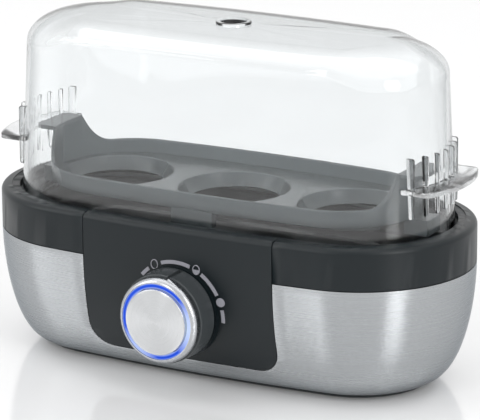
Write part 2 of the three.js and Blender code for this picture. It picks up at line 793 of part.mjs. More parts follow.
function dishClamp(alongX, alongY, angle) {
  const shape = roundedRectangle(CLAMP.length / 2, CLAMP.width / 2, 2 * CLAMP.thickness);
  const place = bossAt(alongX, alongY);
  const shift = (CLAMP.bossInset - CLAMP.bossRadius) / 2;
  const low = CLAMP_TOP - CLAMP.thickness;
  const plate = extruded(shape, CLAMP.thickness, 2).translate(Math.hypot(...place) - shift, 0, low);
  const [x, y] = turnedPlace(place, angle);
  return solid(plate.rotateZ(angle)).subtract(
    rod(SCREW.radius + GAP, low - OVERRUN, CLAMP_TOP + OVERRUN, 10, x, y),
  );
}

const ELEMENT_Y = THERMOSTAT.radius + ELEMENT.clear + ELEMENT.radius;

function heatingElement() {
  const { radius, opening, drop } = ELEMENT;
  const halfLength = BODY.halfLength - ELEMENT.endInset;
  const z = WELL_UNDER - GAP - radius;
  const leg = opening - radius;
  return tube(
    [
      [leg, ELEMENT_Y, z - drop],
      [leg, ELEMENT_Y, z],
      [halfLength, ELEMENT_Y, z],
      [halfLength, -ELEMENT_Y, z],
      [-halfLength, -ELEMENT_Y, z],
      [-halfLength, ELEMENT_Y, z],
      [-leg, ELEMENT_Y, z],
      [-leg, ELEMENT_Y, z - drop],
    ],
    ELEMENT_Y,
    radius,
    ELEMENT_SIDES,
    ELEMENT_STEPS,
  );
}

const ELEMENT_END = WELL_UNDER - GAP - ELEMENT.radius - ELEMENT.drop;
const PIN_X = ELEMENT.opening - ELEMENT.radius;

function elementPin(side) {
  const top = ELEMENT_END - GAP;
  return turned(
    [
      [0, top],
      [ELEMENT.radius - GAP, top],
      [ELEMENT.radius - GAP, top - PIN.radius],
      [PIN.radius, top - PIN.radius],
      [PIN.radius, top - PIN.length],
      [0, top - PIN.length],
    ].reverse(),
    8,
    side * PIN_X,
    ELEMENT_Y,
  );
}

const THERMOSTAT_TOP = WELL_UNDER - GAP;
const CLIP_TOP = THERMOSTAT_TOP - THERMOSTAT.height - GAP;

function thermostat() {
  const { x, radius, flange, bodyRadius, height } = THERMOSTAT;
  const low = THERMOSTAT_TOP - height;
  const body = turned(
    [
      [0, low],
      [bodyRadius, low],
      [bodyRadius, THERMOSTAT_TOP - flange],
      [radius, THERMOSTAT_TOP - flange],
      [radius, THERMOSTAT_TOP],
      [0, THERMOSTAT_TOP],
    ],
    14,
    x,
    0,
  );
  const blade = bodyRadius / 3;
  let made = body;
  for (const side of [-1, 1]) {
    const from = side * (bodyRadius - OVERLAP);
    const to = side * (bodyRadius + blade);
    made = made.add(
      block(
        [x - blade, Math.min(from, to), low + blade / 2],
        [x + blade, Math.max(from, to), low + blade],
      ),
    );
  }
  return made;
}

function thermostatClip() {
  const half = STUD.reach + CLIP.margin;
  const shape = roundedRectangle(half, CLIP.width / 2, CLIP.thickness);
  for (const side of [-1, 1]) {
    shape.holes.push(
      new THREE.Path().absarc(side * STUD.reach, 0, STUD.radius + GAP, 0, 2 * Math.PI),
    );
  }
  const plate = extruded(shape, CLIP.thickness, 3);
  return solid(plate.translate(THERMOSTAT.x, 0, CLIP_TOP - CLIP.thickness));
}

function clipNut(side) {
  const shape = new THREE.Shape(new THREE.Path().absarc(0, 0, NUT.radius, 0, 2 * Math.PI).getPoints(3));
  shape.holes.push(new THREE.Path().absarc(0, 0, STUD.radius + GAP, 0, 2 * Math.PI));
  const top = CLIP_TOP - CLIP.thickness - GAP;
  const nut = extruded(shape, NUT.height, 4);
  return solid(nut.translate(THERMOSTAT.x + side * STUD.reach, 0, top - NUT.height));
}

function thermalFuse() {
  const z = WELL_UNDER - GAP - FUSE.radius;
  const half = FUSE.length / 2;
  const profile = [
    [0, -half],
    [FUSE.radius - FUSE.saddle, -half],
    [FUSE.radius, FUSE.saddle - half],
    [FUSE.radius, half - FUSE.saddle],
    [FUSE.radius - FUSE.saddle, half],
    [0, half],
  ];
  const points = [...profile, profile[0]].map(([radius, x]) => new THREE.Vector2(radius, x));
  return solid(new THREE.LatheGeometry(points, 12).rotateZ(-Math.PI / 2).translate(FUSE.x, 0, z));
}

// Controls

function controlBoard() {
  const half = (BOARD.top - BOARD.bottom) / 2;
  const shape = roundedRectangle(BOARD.halfWidth, half, BOARD.thickness);
  const middle = BOARD.bottom + half;
  for (const side of [-1, 1]) {
    shape.holes.push(
      new THREE.Path().absarc(side * BOARD.holeX, BOARD.holeZ - middle, SCREW.radius + GAP, 0, 2 * Math.PI),
    );
  }
  const board = extruded(shape, BOARD.thickness, 3).rotateX(Math.PI / 2);
  return solid(board.translate(0, BOARD_BACK, middle));
}

function boardScrew(side) {
  const seat = BOARD_BACK + GAP;
  return turnedForward(
    [
      [0, -SCREW.headHeight],
      [SCREW.head, -SCREW.headHeight],
      [SCREW.head, 0],
      [SCREW.radius, 0],
      [SCREW.radius, BOARD.thickness + OVERRUN - SCREW.radius],
      [0, BOARD.thickness + OVERRUN - GAP],
    ].reverse(),
    8,
    side * BOARD.holeX,
    seat,
    BOARD.holeZ,
  );
}

function rotarySwitch() {
  const shape = roundedRectangle(SWITCH.half, SWITCH.half, SWITCH.half / 6);
  const front = BOARD_FRONT - GAP - SWITCH.depth;
  const body = extruded(shape, SWITCH.depth, 1).rotateX(Math.PI / 2).translate(0, BOARD_FRONT - GAP, KNOB.z);
  const nose = rodAlongY(SWITCH.nose, front - SWITCH.noseDepth, front + OVERLAP, 12, 0, KNOB.z);
  const bore = SHAFT.radius + GAP;
  const boreBack = BOARD_FRONT - GAP - SWITCH.depth / 4;
  return solid(body)
    .add(nose)
    .subtract(rodAlongY(bore, front - SWITCH.noseDepth - OVERRUN, boreBack, 12, 0, KNOB.z));
}

function statusLed(side) {
  const half = LED.size / 2;
  const shape = roundedRectangle(half, half, half / 3);
  const depth = SWITCH.depth;
  const lamp = extruded(shape, depth, 1).rotateX(Math.PI / 2);
  return solid(lamp.translate(side * LED.x, BOARD_FRONT - GAP, KNOB.z));
}

function onBoardBack(item) {
  const shape = roundedRectangle(item.width / 2, item.height / 2, item.corner);
  const part = extruded(shape, item.depth, 2).rotateX(Math.PI / 2);
  return solid(part.translate(item.x, BOARD_BACK + GAP + item.depth, item.z));
}

function buzzer() {
  const { x, z, radius, depth } = BUZZER;
  const sound = radius / 4;
  return turnedForward(
    [
      [0, -depth + sound],
      [sound, -depth + sound],
      [sound, -depth],
      [radius, -depth],
      [radius, 0],
      [0, 0],
    ].reverse(),
    14,
    x,
    BOARD_BACK + GAP,
    z,
  );
}

function lightGuide() {
  const { inner, outer, flange, flangeDepth } = GUIDE;
  const back = PEDESTAL_BACK + GAP + flangeDepth;
  const length = back - KNOB_BASE + KNOB.drumDepth - KNOB.wall - 2 * GAP;
  return turnedForward(
    [
      [inner, 0],
      [flange, 0],
      [flange, flangeDepth],
      [outer, flangeDepth],
      [outer, length],
      [inner, length],
    ],
    20,
    0,
    back,
    KNOB.z,
  );
}

function terminalBlock() {
  const { x, y, length, width, height, wayRadius } = TERMINAL;
  const low = PLATE.bottom + PLATE.lip + PLATE.rib + GAP;
  const shape = shapeOf([
    [-width / 2, 0],
    [width / 2, 0],
    [width / 2, height - wayRadius],
    [width / 4, height],
    [-width / 4, height],
    [-width / 2, height - wayRadius],
  ]);
  const bar = extruded(shape, length).rotateX(Math.PI / 2).rotateZ(Math.PI / 2);
  let made = solid(bar.translate(x - length / 2, y, low));
  for (let way = 0; way < TERMINAL_WAYS; way++) {
    const at = x + ((way - (TERMINAL_WAYS - 1) / 2) * length) / TERMINAL_WAYS;
    made = made.subtract(rod(wayRadius - GAP, low + height / 2, low + height + OVERRUN, 8, at, y));
    made = made.subtract(
      rodAlongY(wayRadius - GAP, y - width - OVERRUN, y + width + OVERRUN, 8, at, low + wayRadius),
    );
  }
  return made;
}

// Rotary knob

const drumFloor = KNOB.drumDepth - KNOB.wall;
const faceBack = KNOB.drumDepth + GAP;

function knobDrum() {
  const { drumRadius, drumTaper, drumDepth, wall } = KNOB;
  const front = drumRadius - drumTaper;
  let made = turnedForward(
    [
      [drumRadius - wall, 0],
      [drumRadius, 0],
      [front, drumDepth - drumTaper],
      [front - drumTaper, drumDepth],
      [SHAFT.radius + GAP, drumDepth],
      [SHAFT.radius + GAP, drumFloor - wall],
      [SHAFT.hub, drumFloor - wall],
      [SHAFT.hub, drumFloor],
      [drumRadius - wall - drumTaper, drumFloor],
    ],
    KNOB_SIDES,
    0,
    KNOB_BASE,
    KNOB.z,
  );
  const light = (KNOB.lightInner + KNOB.rimInner) / 2;
  const half = (KNOB.rimInner - KNOB.lightInner) / 2 - GAP;
  for (let window = 0; window < 3; window++) {
    const turn = (2 * Math.PI * window) / 3 + Math.PI / 2;
    const slot = roundedRectangle(half, 3 * half, half / 2);
    const cut = extruded(slot, drumDepth, 1).translate(light, 0, 0).rotateZ(turn).rotateX(Math.PI / 2);
    made = made.subtract(solid(cut.translate(0, KNOB_BASE - drumFloor + GAP, KNOB.z)));
  }
  return made.subtract(pointerGroove());
}

// The groove along the drum that shows where the knob points.
function pointerGroove() {
  const radius = KNOB.drumRadius;
  const half = POINTER.width / 2;
  const shape = shapeOf([
    [radius - POINTER.depth, -half],
    [radius + OVERRUN, -2 * half],
    [radius + OVERRUN, 2 * half],
    [radius - POINTER.depth, half],
  ]);
  const cut = extruded(shape, KNOB.faceDepth).rotateZ(degrees(POINTER.angle)).rotateX(Math.PI / 2);
  return solid(cut.translate(0, KNOB_BASE + GAP, KNOB.z));
}

function knobRim() {
  const { rimRadius, rimInner, faceDepth, chamfer } = KNOB;
  const made = turnedForward(
    [
      [rimInner, faceBack],
      [rimRadius - chamfer / 2, faceBack],
      [rimRadius, faceBack + chamfer],
      [rimRadius, faceDepth - chamfer],
      [rimRadius - chamfer, faceDepth],
      [rimInner + chamfer / 3, faceDepth],
      [rimInner, faceDepth - chamfer / 2],
    ],
    KNOB_SIDES,
    0,
    KNOB_BASE,
    KNOB.z,
  );
  const turn = degrees(POINTER.angle);
  const at = rimRadius - POINTER.nubRadius / 3;
  const nub = turnedForward(
    [
      [0, faceDepth - POINTER.nubDepth - chamfer],
      [POINTER.nubRadius, faceDepth - POINTER.nubDepth - chamfer],
      [POINTER.nubRadius, faceDepth - chamfer],
      [0, faceDepth - chamfer],
    ],
    12,
    at * Math.cos(turn),
    KNOB_BASE,
    KNOB.z + at * Math.sin(turn),
  );
  const outside = turnedForward(
    [
      [rimInner + chamfer, -OVERRUN],
      [rimRadius + POINTER.depth, -OVERRUN],
      [rimRadius + POINTER.depth, faceDepth + OVERRUN],
      [rimInner + chamfer, faceDepth + OVERRUN],
    ],
    KNOB_SIDES,
    0,
    KNOB_BASE,
    KNOB.z,
  );
  return made.add(nub.intersect(outside));
}

function lightRing() {
  const { lightInner, rimInner, faceDepth, chamfer } = KNOB;
  return turnedForward(
    [
      [lightInner, faceBack],
      [rimInner - GAP, faceBack],
      [rimInner - GAP, faceDepth - chamfer],
      [lightInner, faceDepth - chamfer],
    ],
    KNOB_SIDES,
    0,
    KNOB_BASE,
    KNOB.z,
  );
}

function knobCap() {
  const { capRadius, faceDepth, chamfer } = KNOB;
  return turnedForward(
    [
      [0, faceBack],
      [capRadius, faceBack],
      [capRadius, faceDepth - chamfer / 2],
      [capRadius - chamfer / 2, faceDepth],
      [capRadius / 2, faceDepth + chamfer / 4],
      [0, faceDepth + chamfer / 3],
    ],
    KNOB_SIDES,
    0,
    KNOB_BASE,
    KNOB.z,
  );
}

function knobShaft() {
  const back = BOARD_FRONT - SWITCH.depth / 2;
  const length = back - KNOB_BASE + KNOB.drumDepth - GAP;
  const shaft = turnedForward(
    [
      [0, 0],
      [SHAFT.radius, 0],
      [SHAFT.radius, length],
      [0, length],
    ],
    12,
    0,
    back,
    KNOB.z,
  );
  const flatFrom = KNOB.z + SHAFT.radius - SHAFT.flat;
  return shaft.subtract(
    block(
      [-SHAFT.radius - GAP, KNOB_BASE - KNOB.drumDepth - OVERRUN, flatFrom],
      [SHAFT.radius + GAP, KNOB_BASE - drumFloor + SHAFT.hub / 2, flatFrom + SHAFT.radius],
    ),
  );
}

// Lid

const smooth = (share) => share * share * (3 - 2 * share);
// A row of the lid's shell: up to level 0 on the wall, then round the crown to level 1.
function lidRow(inset, drop, level, foot) {
  const { endDraft, sideDraft, endRound, endDrop, sideRound, sideDrop } = LID;
  const base = ovalPoints(BODY, LID.inset + inset);
  return base.map((p) => {
    const endShare = smooth(Math.min(Math.abs(p.nx) / LID_END_SHARE, 1));
    const round = sideRound + (endRound - sideRound) * endShare - inset / 2;
    const fall = sideDrop + (endDrop - sideDrop) * endShare - inset / 4;
    const angle = (level * Math.PI) / 2;
    const draw = foot ? 0 : 1;
    const away = round * (1 - Math.cos(angle));
    const x = p.x * (1 - (draw * endDraft) / BODY.halfLength) - p.nx * away;
    const y = p.y * (1 - (draw * sideDraft) / (BODY.halfWidth - LID.inset)) - p.ny * away;
    const z = foot ? LEDGE_TOP + GAP : LID_TOP - drop - fall * (1 - Math.sin(angle));
    return new THREE.Vector3(x, y, z);
  });
}

function lidShell(inset, drop, footDrop) {
  const rows = [lidRow(inset, drop, 0, true)];
  rows[0].forEach((p) => p.setZ(p.z - footDrop));
  for (let i = 0; i <= LID_ROUND_STEPS; i++) rows.push(lidRow(inset, drop, i / LID_ROUND_STEPS, false));
  const crown = rows[rows.length - 1];
  for (const share of DOME_SHARES) {
    rows.push(
      crown.map(
        (p) => new THREE.Vector3(p.x * (1 - share), p.y * (1 - share), p.z + LID.dome * smooth(share)),
      ),
    );
  }
  return loft(rows, false);
}

const lidEndRadius = endRadiusOf(BODY) - LID.inset;

function gripFlange(side) {
  const { endRadius: outer, reach } = ovalCentres(BODY);
  const half = degrees(GRIP.halfAngle);
  const corner = GRIP.cornerRadius;
  const inner = lidEndRadius - LID.wall;
  const cornerCentre = outer - corner;
  const turn = half - Math.asin(corner / cornerCentre);
  const [cx, cy] = [cornerCentre * Math.cos(turn), cornerCentre * Math.sin(turn)];
  const shape = new THREE.Shape();
  shape.moveTo(inner * Math.cos(half), -inner * Math.sin(half));
  shape.absarc(cx, -cy, corner, -half - Math.PI / 2, -turn, false);
  shape.absarc(0, 0, outer, -turn, turn, false);
  shape.absarc(cx, cy, corner, turn, half + Math.PI / 2, false);
  shape.lineTo(inner * Math.cos(half), inner * Math.sin(half));
  shape.absarc(0, 0, inner, half, -half, true);
  const plate = extruded(shape, GRIP.thickness, 5).translate(reach, 0, LEDGE_TOP + GRIP.rise);
  return solid(side > 0 ? plate : plate.rotateZ(Math.PI));
}

function gripRib(side, index) {
  const { reach } = ovalCentres(BODY);
  const turn = degrees(RIB_FAN * (index / (RIB_COUNT - 1) - 0.5));
  const inner = lidEndRadius - LID.wall;
  const outer = lidEndRadius + RIB.proud;
  const tip = RIB.proud;
  const bottom = LEDGE_TOP + RIB.rise;
  const top = bottom + RIB.length;
  const shape = shapeOf([
    [inner, bottom + tip],
    [outer - tip, bottom],
    [outer, bottom + tip],
    ...arc(outer - tip, top - tip, tip, 0, 90, 2),
    [inner, top - tip],
  ]);
  const plate = extruded(shape, RIB.thickness).translate(0, 0, -RIB.thickness / 2);
  plate.rotateX(Math.PI / 2).rotateZ(turn).translate(reach, 0, 0);
  return solid(side > 0 ? plate : plate.rotateZ(Math.PI));
}

function lid() {
  const ringTop = LID_TOP + LID.dome + STEAM_HOLE.ringHeight;
  let shell = lidShell(0, 0, 0);
  for (const side of [-1, 1]) {
    shell = shell.add(gripFlange(side));
    for (let index = 0; index < RIB_COUNT; index++) shell = shell.add(gripRib(side, index));
  }
  const ringRadius = STEAM_HOLE.radius + STEAM_HOLE.ringWidth;
  const chamfer = STEAM_HOLE.ringHeight / 2;
  const boss = turned(
    [
      [0, LID_TOP - LID.wall],
      [ringRadius, LID_TOP - LID.wall],
      [ringRadius, ringTop - chamfer],
      [ringRadius - chamfer, ringTop],
      [0, ringTop],
    ],
    24,
  );
  return shell
    .add(boss)
    .subtract(lidShell(LID.wall, LID.wall, OVERRUN))
    .subtract(rod(STEAM_HOLE.radius, LID_TOP - OVERRUN, ringTop + OVERRUN, 24, 0, 0));
}

// Egg tray

// How high the tray's rim stands at a point: level along the sides, swept up into a handle at each end.
function rimHeight(p) {
  const across = Math.abs(p.y);
  const share = Math.min(Math.max((across - HANDLE.halfWidth) / HANDLE.swoop, 0), 1);
  const side = Math.abs(p.x) > ovalCentres(TRAY_OVAL).reach ? 1 : 0;
  const curve = (1 - share) ** 2;
  return TRAY_RIM + side * HANDLE.rise * curve;
}

function trayPan() {
  const row = (inset, heightOf) =>
    ovalPoints(TRAY_OVAL, inset, TRAY_STEPS).map((p) => new THREE.Vector3(p.x, p.y, heightOf(p)));
  const floorTop = TRAY_UNDER + TRAY.floor;
  const radius = TRAY.wall;
  return loft(
    [
      row(radius, () => TRAY_UNDER),
      row(radius / 3, () => TRAY_UNDER + radius / 3),
      row(0, () => TRAY_UNDER + radius),
      row(0, (p) => rimHeight(p) - radius / 4),
      row(radius / 4, rimHeight),
      row(TRAY.wall - radius / 4, rimHeight),
      row(TRAY.wall, (p) => rimHeight(p) - radius / 4),
      row(TRAY.wall, () => floorTop),
    ],
    false,
  );
}

function handleTab(side) {
  const inner = TRAY_OVAL.halfLength - TRAY.wall;
  const outer = inner + HANDLE.tab;
  const corner = HANDLE.tab / 2;
  const half = HANDLE.halfWidth;
  const shape = new THREE.Shape();
  shape.moveTo(inner - HANDLE.tabThickness, -half);
  shape.absarc(outer - corner, corner - half, corner, -Math.PI / 2, 0, false);
  shape.absarc(outer - corner, half - corner, corner, 0, Math.PI / 2, false);
  shape.lineTo(inner - HANDLE.tabThickness, half);
  const tab = extruded(shape, HANDLE.tabThickness, 5);
  tab.translate(0, 0, HANDLE_TOP - HANDLE.tabThickness);
  return solid(side > 0 ? tab : tab.rotateZ(Math.PI));
}

function eggTray() {
  const seatLow = TRAY_UNDER - SEAT.drop;
  const lugLow = LEDGE_TOP + GAP;
  const lugTop = TRAY_UNDER + TRAY.floor / 2;
  let made = trayPan();
  for (const side of [-1, 1]) {
    made = made.add(handleTab(side));
    const [from, to] = [TRAY_OVAL.halfWidth - LUG.root, TRAY_OVAL.halfWidth + LUG.proud];
    const lug = block([-LUG.halfWidth, from, lugLow], [LUG.halfWidth, to, lugTop]);
    made = made.add(side > 0 ? lug : lug.rotate([0, 0, 180]));
    const endFrom = TRAY_OVAL.halfLength - LUG.root;
    const endTo = BODY.halfLength - LEDGE.inset + LUG.endProud;
    const endLug = block([endFrom, -LUG.endHalfWidth, lugLow], [endTo, LUG.endHalfWidth, lugTop]);
    made = made.add(side > 0 ? endLug : endLug.rotate([0, 0, 180]));
  }
  for (const seat of [-1, 0, 1]) {
    const x = seat * SEAT_PITCH;
    const cup = turned(
      [
        [0, seatLow],
        [SEAT_RADIUS - SEAT.wall, seatLow],
        [SEAT_RADIUS + SEAT.wall, TRAY_UNDER + OVERLAP],
        [0, TRAY_UNDER + OVERLAP],
      ],
      SEAT_SIDES,
      x,
    );
    made = made.add(cup);
  }
  for (const seat of [-1, 0, 1]) {
    const x = seat * SEAT_PITCH;
    const edge = TRAY_UNDER + TRAY.floor;
    const hole = turned(
      [
        [0, seatLow - OVERRUN],
        [SEAT_RADIUS - 2 * SEAT.wall, seatLow - OVERRUN],
        [SEAT_RADIUS - 2 * SEAT.wall, seatLow],
        [SEAT_RADIUS, edge],
        [SEAT_RADIUS, edge + OVERRUN],
        [0, edge + OVERRUN],
      ],
      SEAT_SIDES,
      x,
    );
    made = made.subtract(hole);
  }
  return made;
}

// Wires inside the base

const TERMINAL_TOP = PLATE.bottom + PLATE.lip + PLATE.rib + GAP + TERMINAL.height;

function wireFromElement(side) {
  const way = side < 0 ? -1 : 0;
  const to = TERMINAL.x + (way * TERMINAL.length) / TERMINAL_WAYS;
  const from = ELEMENT_END - GAP - PIN.length - GAP;
  return tube(
    [
      [side * PIN_X, ELEMENT_Y, from],
      [side * PIN_X, ELEMENT_Y, from - 4 * WIRE.radius],
      [(side * PIN_X + to) / 2, TERMINAL.y + side * PIN_X, TERMINAL_TOP + 5 * WIRE.radius],
      [to, TERMINAL.y, TERMINAL_TOP + 4 * WIRE.radius],
      [to, TERMINAL.y, TERMINAL_TOP - 2 * WIRE.radius],
    ],
    WIRE.bend,
    WIRE.radius,
    WIRE_SIDES,
    WIRE_STEPS,
  );
}

function wireToBoard() {
  const from = TERMINAL.x + TERMINAL.length / TERMINAL_WAYS;
  const end = BOARD_BACK + WIRE.clear;
  return tube(
    [
      [from, TERMINAL.y, TERMINAL_TOP - 2 * WIRE.radius],
      [from, TERMINAL.y, TERMINAL_TOP + 3 * WIRE.radius],
      [from, (TERMINAL.y + end) / 2, TERMINAL_TOP + 8 * WIRE.radius],
      [BOARD.halfWidth - 3 * WIRE.radius, end + 4 * WIRE.radius, BOARD.holeZ - 4 * WIRE.radius],
      [BOARD.halfWidth - 3 * WIRE.radius, end, BOARD.holeZ - 4 * WIRE.radius],
    ],
    WIRE.bend,
    WIRE.radius,
    WIRE_SIDES,
    WIRE_STEPS,
  );
}

// Assembly

const base = new THREE.Group();
base.add(
  meshOf("steel_skirt", steelSkirt(), brushedSteel),
  meshOf("collar", collar(), blackPlastic),
  meshOf("ledge_ring", ledgeRing(), blackPlastic),
  meshOf("control_panel", controlPanel(), blackPlastic),
  meshOf("base_plate", basePlate(), blackPlastic),
  meshOf("cord_grommet", grommet(), rubber),
  meshOf("heating_dish", heatingDish(), darkCoating),
  meshOf("dish_seal", dishSeal(), silicone),
  meshOf("heating_element", heatingElement(), zincSteel),
  meshOf("element_pin_left", elementPin(-1), brass),
  meshOf("element_pin_right", elementPin(1), brass),
  meshOf("thermostat", thermostat(), partIvory),
  meshOf("thermostat_clip", thermostatClip(), zincSteel),
  meshOf("clip_nut_left", clipNut(-1), zincSteel),
  meshOf("clip_nut_right", clipNut(1), zincSteel),
  meshOf("thermal_fuse", thermalFuse(), partIvory),
  meshOf("control_board", controlBoard(), boardGreen),
  meshOf("board_screw_left", boardScrew(-1), zincSteel),
  meshOf("board_screw_right", boardScrew(1), zincSteel),
  meshOf("rotary_switch", rotarySwitch(), partBlack),
  meshOf("led_left", statusLed(-1), frosted),
  meshOf("led_right", statusLed(1), frosted),
  meshOf("relay", onBoardBack(RELAY), partBlue),
  meshOf("capacitor", onBoardBack(CAPACITOR), partBlue),
  meshOf("buzzer", buzzer(), partBlack),
  meshOf("light_guide", lightGuide(), frosted),
  meshOf("terminal_block", terminalBlock(), partIvory),
  meshOf("wire_element_left", wireFromElement(-1), wireRed),
  meshOf("wire_element_right", wireFromElement(1), wireBlue),
  meshOf("wire_board", wireToBoard(), wireRed),
);
for (const [corner, signX, signY] of CORNERS) {
  const [x, y] = postAt(signX, signY);
  base.add(meshOf("foot_" + corner, foot(signX, signY), rubber));
  base.add(meshOf("base_screw_" + corner, upScrew(x, y, PLATE_SEAT - 2 * GAP, POST_TOP / 3), zincSteel));
}
for (const [side, alongX, alongY, angle] of SIDES) {
  const [x, y] = turnedPlace(bossAt(alongX, alongY), angle);
  const seat = CLAMP_TOP - CLAMP.thickness - GAP;
  base.add(meshOf("dish_clamp_" + side, dishClamp(alongX, alongY, angle), zincSteel));
  base.add(meshOf("clamp_screw_" + side, upScrew(x, y, seat, CLAMP.screwLength), zincSteel));
}

const knob = new THREE.Group();
knob.add(
  meshOf("knob_drum", knobDrum(), blackPlastic),
  meshOf("knob_rim", knobRim(), chrome),
  meshOf("light_ring", lightRing(), blueLight),
  meshOf("knob_cap", knobCap(), brushedAluminium),
  meshOf("knob_shaft", knobShaft(), zincSteel),
);

const trayGroup = new THREE.Group();
trayGroup.add(meshOf("egg_tray", eggTray(), smokedPlastic));

const lidGroup = new THREE.Group();
lidGroup.add(meshOf("lid", lid(), clearPlastic));

const eggBoiler = new THREE.Group();
eggBoiler.add(base, knob, trayGroup, lidGroup);

// The knob stands out at the front, so the whole is moved back to centre it over the origin.
const bounds = new THREE.Box3().setFromObject(eggBoiler);
eggBoiler.position.y = -(bounds.min.y + bounds.max.y) / 2;

export default eggBoiler;
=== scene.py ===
"""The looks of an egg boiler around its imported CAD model: smooth shells, finishes, studio and camera.

Shapes are written in millimetres about the body's own upright axis and placed in metres by place().
"""

import math

import bmesh
import bpy
from mathutils import Matrix, Vector

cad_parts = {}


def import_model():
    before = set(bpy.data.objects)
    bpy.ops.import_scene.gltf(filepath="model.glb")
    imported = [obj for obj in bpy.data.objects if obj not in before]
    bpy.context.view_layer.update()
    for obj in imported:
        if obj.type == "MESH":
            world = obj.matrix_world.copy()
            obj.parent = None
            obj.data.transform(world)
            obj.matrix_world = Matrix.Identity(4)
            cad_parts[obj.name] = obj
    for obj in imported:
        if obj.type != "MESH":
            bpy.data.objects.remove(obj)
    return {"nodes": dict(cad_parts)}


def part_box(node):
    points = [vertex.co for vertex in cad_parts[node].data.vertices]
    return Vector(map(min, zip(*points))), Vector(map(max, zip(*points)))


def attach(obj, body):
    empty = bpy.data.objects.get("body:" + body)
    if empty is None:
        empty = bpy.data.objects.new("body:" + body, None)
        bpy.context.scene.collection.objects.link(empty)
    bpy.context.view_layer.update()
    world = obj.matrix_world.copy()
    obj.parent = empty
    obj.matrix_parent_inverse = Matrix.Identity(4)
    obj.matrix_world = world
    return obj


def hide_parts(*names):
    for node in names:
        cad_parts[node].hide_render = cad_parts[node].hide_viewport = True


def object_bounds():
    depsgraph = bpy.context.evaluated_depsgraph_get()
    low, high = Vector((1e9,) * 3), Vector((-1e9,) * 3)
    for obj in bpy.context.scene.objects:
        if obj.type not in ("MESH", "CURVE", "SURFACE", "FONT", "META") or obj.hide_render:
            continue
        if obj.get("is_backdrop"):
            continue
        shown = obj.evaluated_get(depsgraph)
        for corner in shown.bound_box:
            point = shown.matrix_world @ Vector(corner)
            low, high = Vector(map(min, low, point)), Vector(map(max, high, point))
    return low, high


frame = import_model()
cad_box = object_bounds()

MM = 0.001

# Sizes of the body, in millimetres and degrees. An edge is the rounding of a piece's sharp edges.

GAP = 0.3
OVERRUN = 5
BODY = {"half_length": 95, "half_width": 45, "end_radius": 42.8}
SKIRT = {
    "bottom": 2.5,
    "height": 43.6,
    "tuck": 15.15,
    "wall": 1,
    "flange": 5.85,
    "power": 1.878,
    "edge": 0.25,
}
SEAM = SKIRT["bottom"] + SKIRT["height"]
COLLAR = {
    "height": 15.25,
    "wall": 2.2,
    "rim_radius": 2,
    "lip_inset": 4.1,
    "lip_rise": 0.4,
    "inner_inset": 7,
    "inner_wall": 2,
    "skirt_drop": 3,
    "skirt_wall": 1.9,
    "edge": 0.3,
}
COLLAR_TOP = SEAM + COLLAR["height"]
LEDGE = {"inset": 15, "drop": 2.4, "thickness": 2.2, "lip": 1, "lip_thickness": 0.9, "edge": 0.25}
LEDGE_TOP = COLLAR_TOP - LEDGE["drop"]
LEDGE_UNDER = LEDGE_TOP - LEDGE["thickness"]
LIP_UNDER = LEDGE_TOP - LEDGE["lip_thickness"]
PANEL = {"half_width": 39.66, "bottom": 10, "corner": 9, "wall": 2.2, "lip": 1.8, "edge": 0.3}
GROMMET = {"x": 40, "z": 22, "neck": 4.4, "reach": 6.4}

DISH = {
    "rim": 9.5,
    "drop": 1.8,
    "floor": 48.5,
    "wall": 1.2,
    "wall_inset": 15.5,
    "lean": 20,
    "well_inset": 31.5,
    "well_depth": 1,
}
DISH_TOP = LEDGE_UNDER - DISH["drop"]
STUD = {"x": -18, "spread": 12, "radius": 1.5, "length": 10}

# Sizes of the knob and of what stands round it on the panel. Depths run forward from the knob's base.

KNOB = {
    "z": 29.9,
    "base": -45.9,
    "radius": 17,
    "taper": 0.3,
    "drum_depth": 8.8,
    "drum_edge": 0.5,
    "face_depth": 13.5,
    "rim_depth": 10.9,
    "rim_radius": 16.05,
    "rim_inner": 14.3,
    "light_depth": 12.6,
    "light_inner": 12.6,
    "light_crown": 0.35,
    "cap_radius": 12.3,
    "wall": 1.8,
    "edge": 0.3,
}
RIM_SLOPE_SHARES = ((0.12, 0.3), (0.3, 0.56), (0.5, 0.76), (0.7, 0.91), (0.86, 0.98))
CAP_DOME_SHARES = (0.9, 0.6, 0.3, 0)
SHAFT = {"radius": 3, "hub": 5}
POINTER = {"angle": 78, "width": 1.5, "depth": 1.1}
NOSE = {
    "start": 54,
    "end": 75.5,
    "proud": 1,
    "sunk": 0.05,
    "power": 1.6,
    "back": 9.2,
    "front": 11.4,
    "edge": 0.3,
}
NOSE_SHARES = (0, 0.15, 0.3, 0.45, 0.6, 0.75, 0.9, 1)
GUIDE_BORE = 8.5
PEDESTAL = {"radius": 17.4, "depth": 7, "core_inner": 12.6, "core_outer": 15.6, "core_depth": 5}
PEDESTAL_FRONT = KNOB["base"] + GAP
PEDESTAL_BACK = PEDESTAL_FRONT + PEDESTAL["depth"]

# The printed scale, with the angles of its bars and symbols in degrees

MARK = {
    "x": 0.6,
    "rise": 0.25,
    "radius": 18.7,
    "width": 1.35,
    "height": 0.3,
    "symbol": 1.86,
    "ring": 0.3,
    "dot": 1.7,
}
MARK_CENTRE = (MARK["x"], KNOB["z"] + MARK["rise"])
MARK_BARS = ((127.4, 139.8), (72, 109), (26.5, 56), (-6.3, 9))
MARK_SYMBOLS = {"empty": 118.3, "half": 63.5, "full": 18}
SYMBOL_SHARE = 0.8

# Sizes of the lid and of the tray

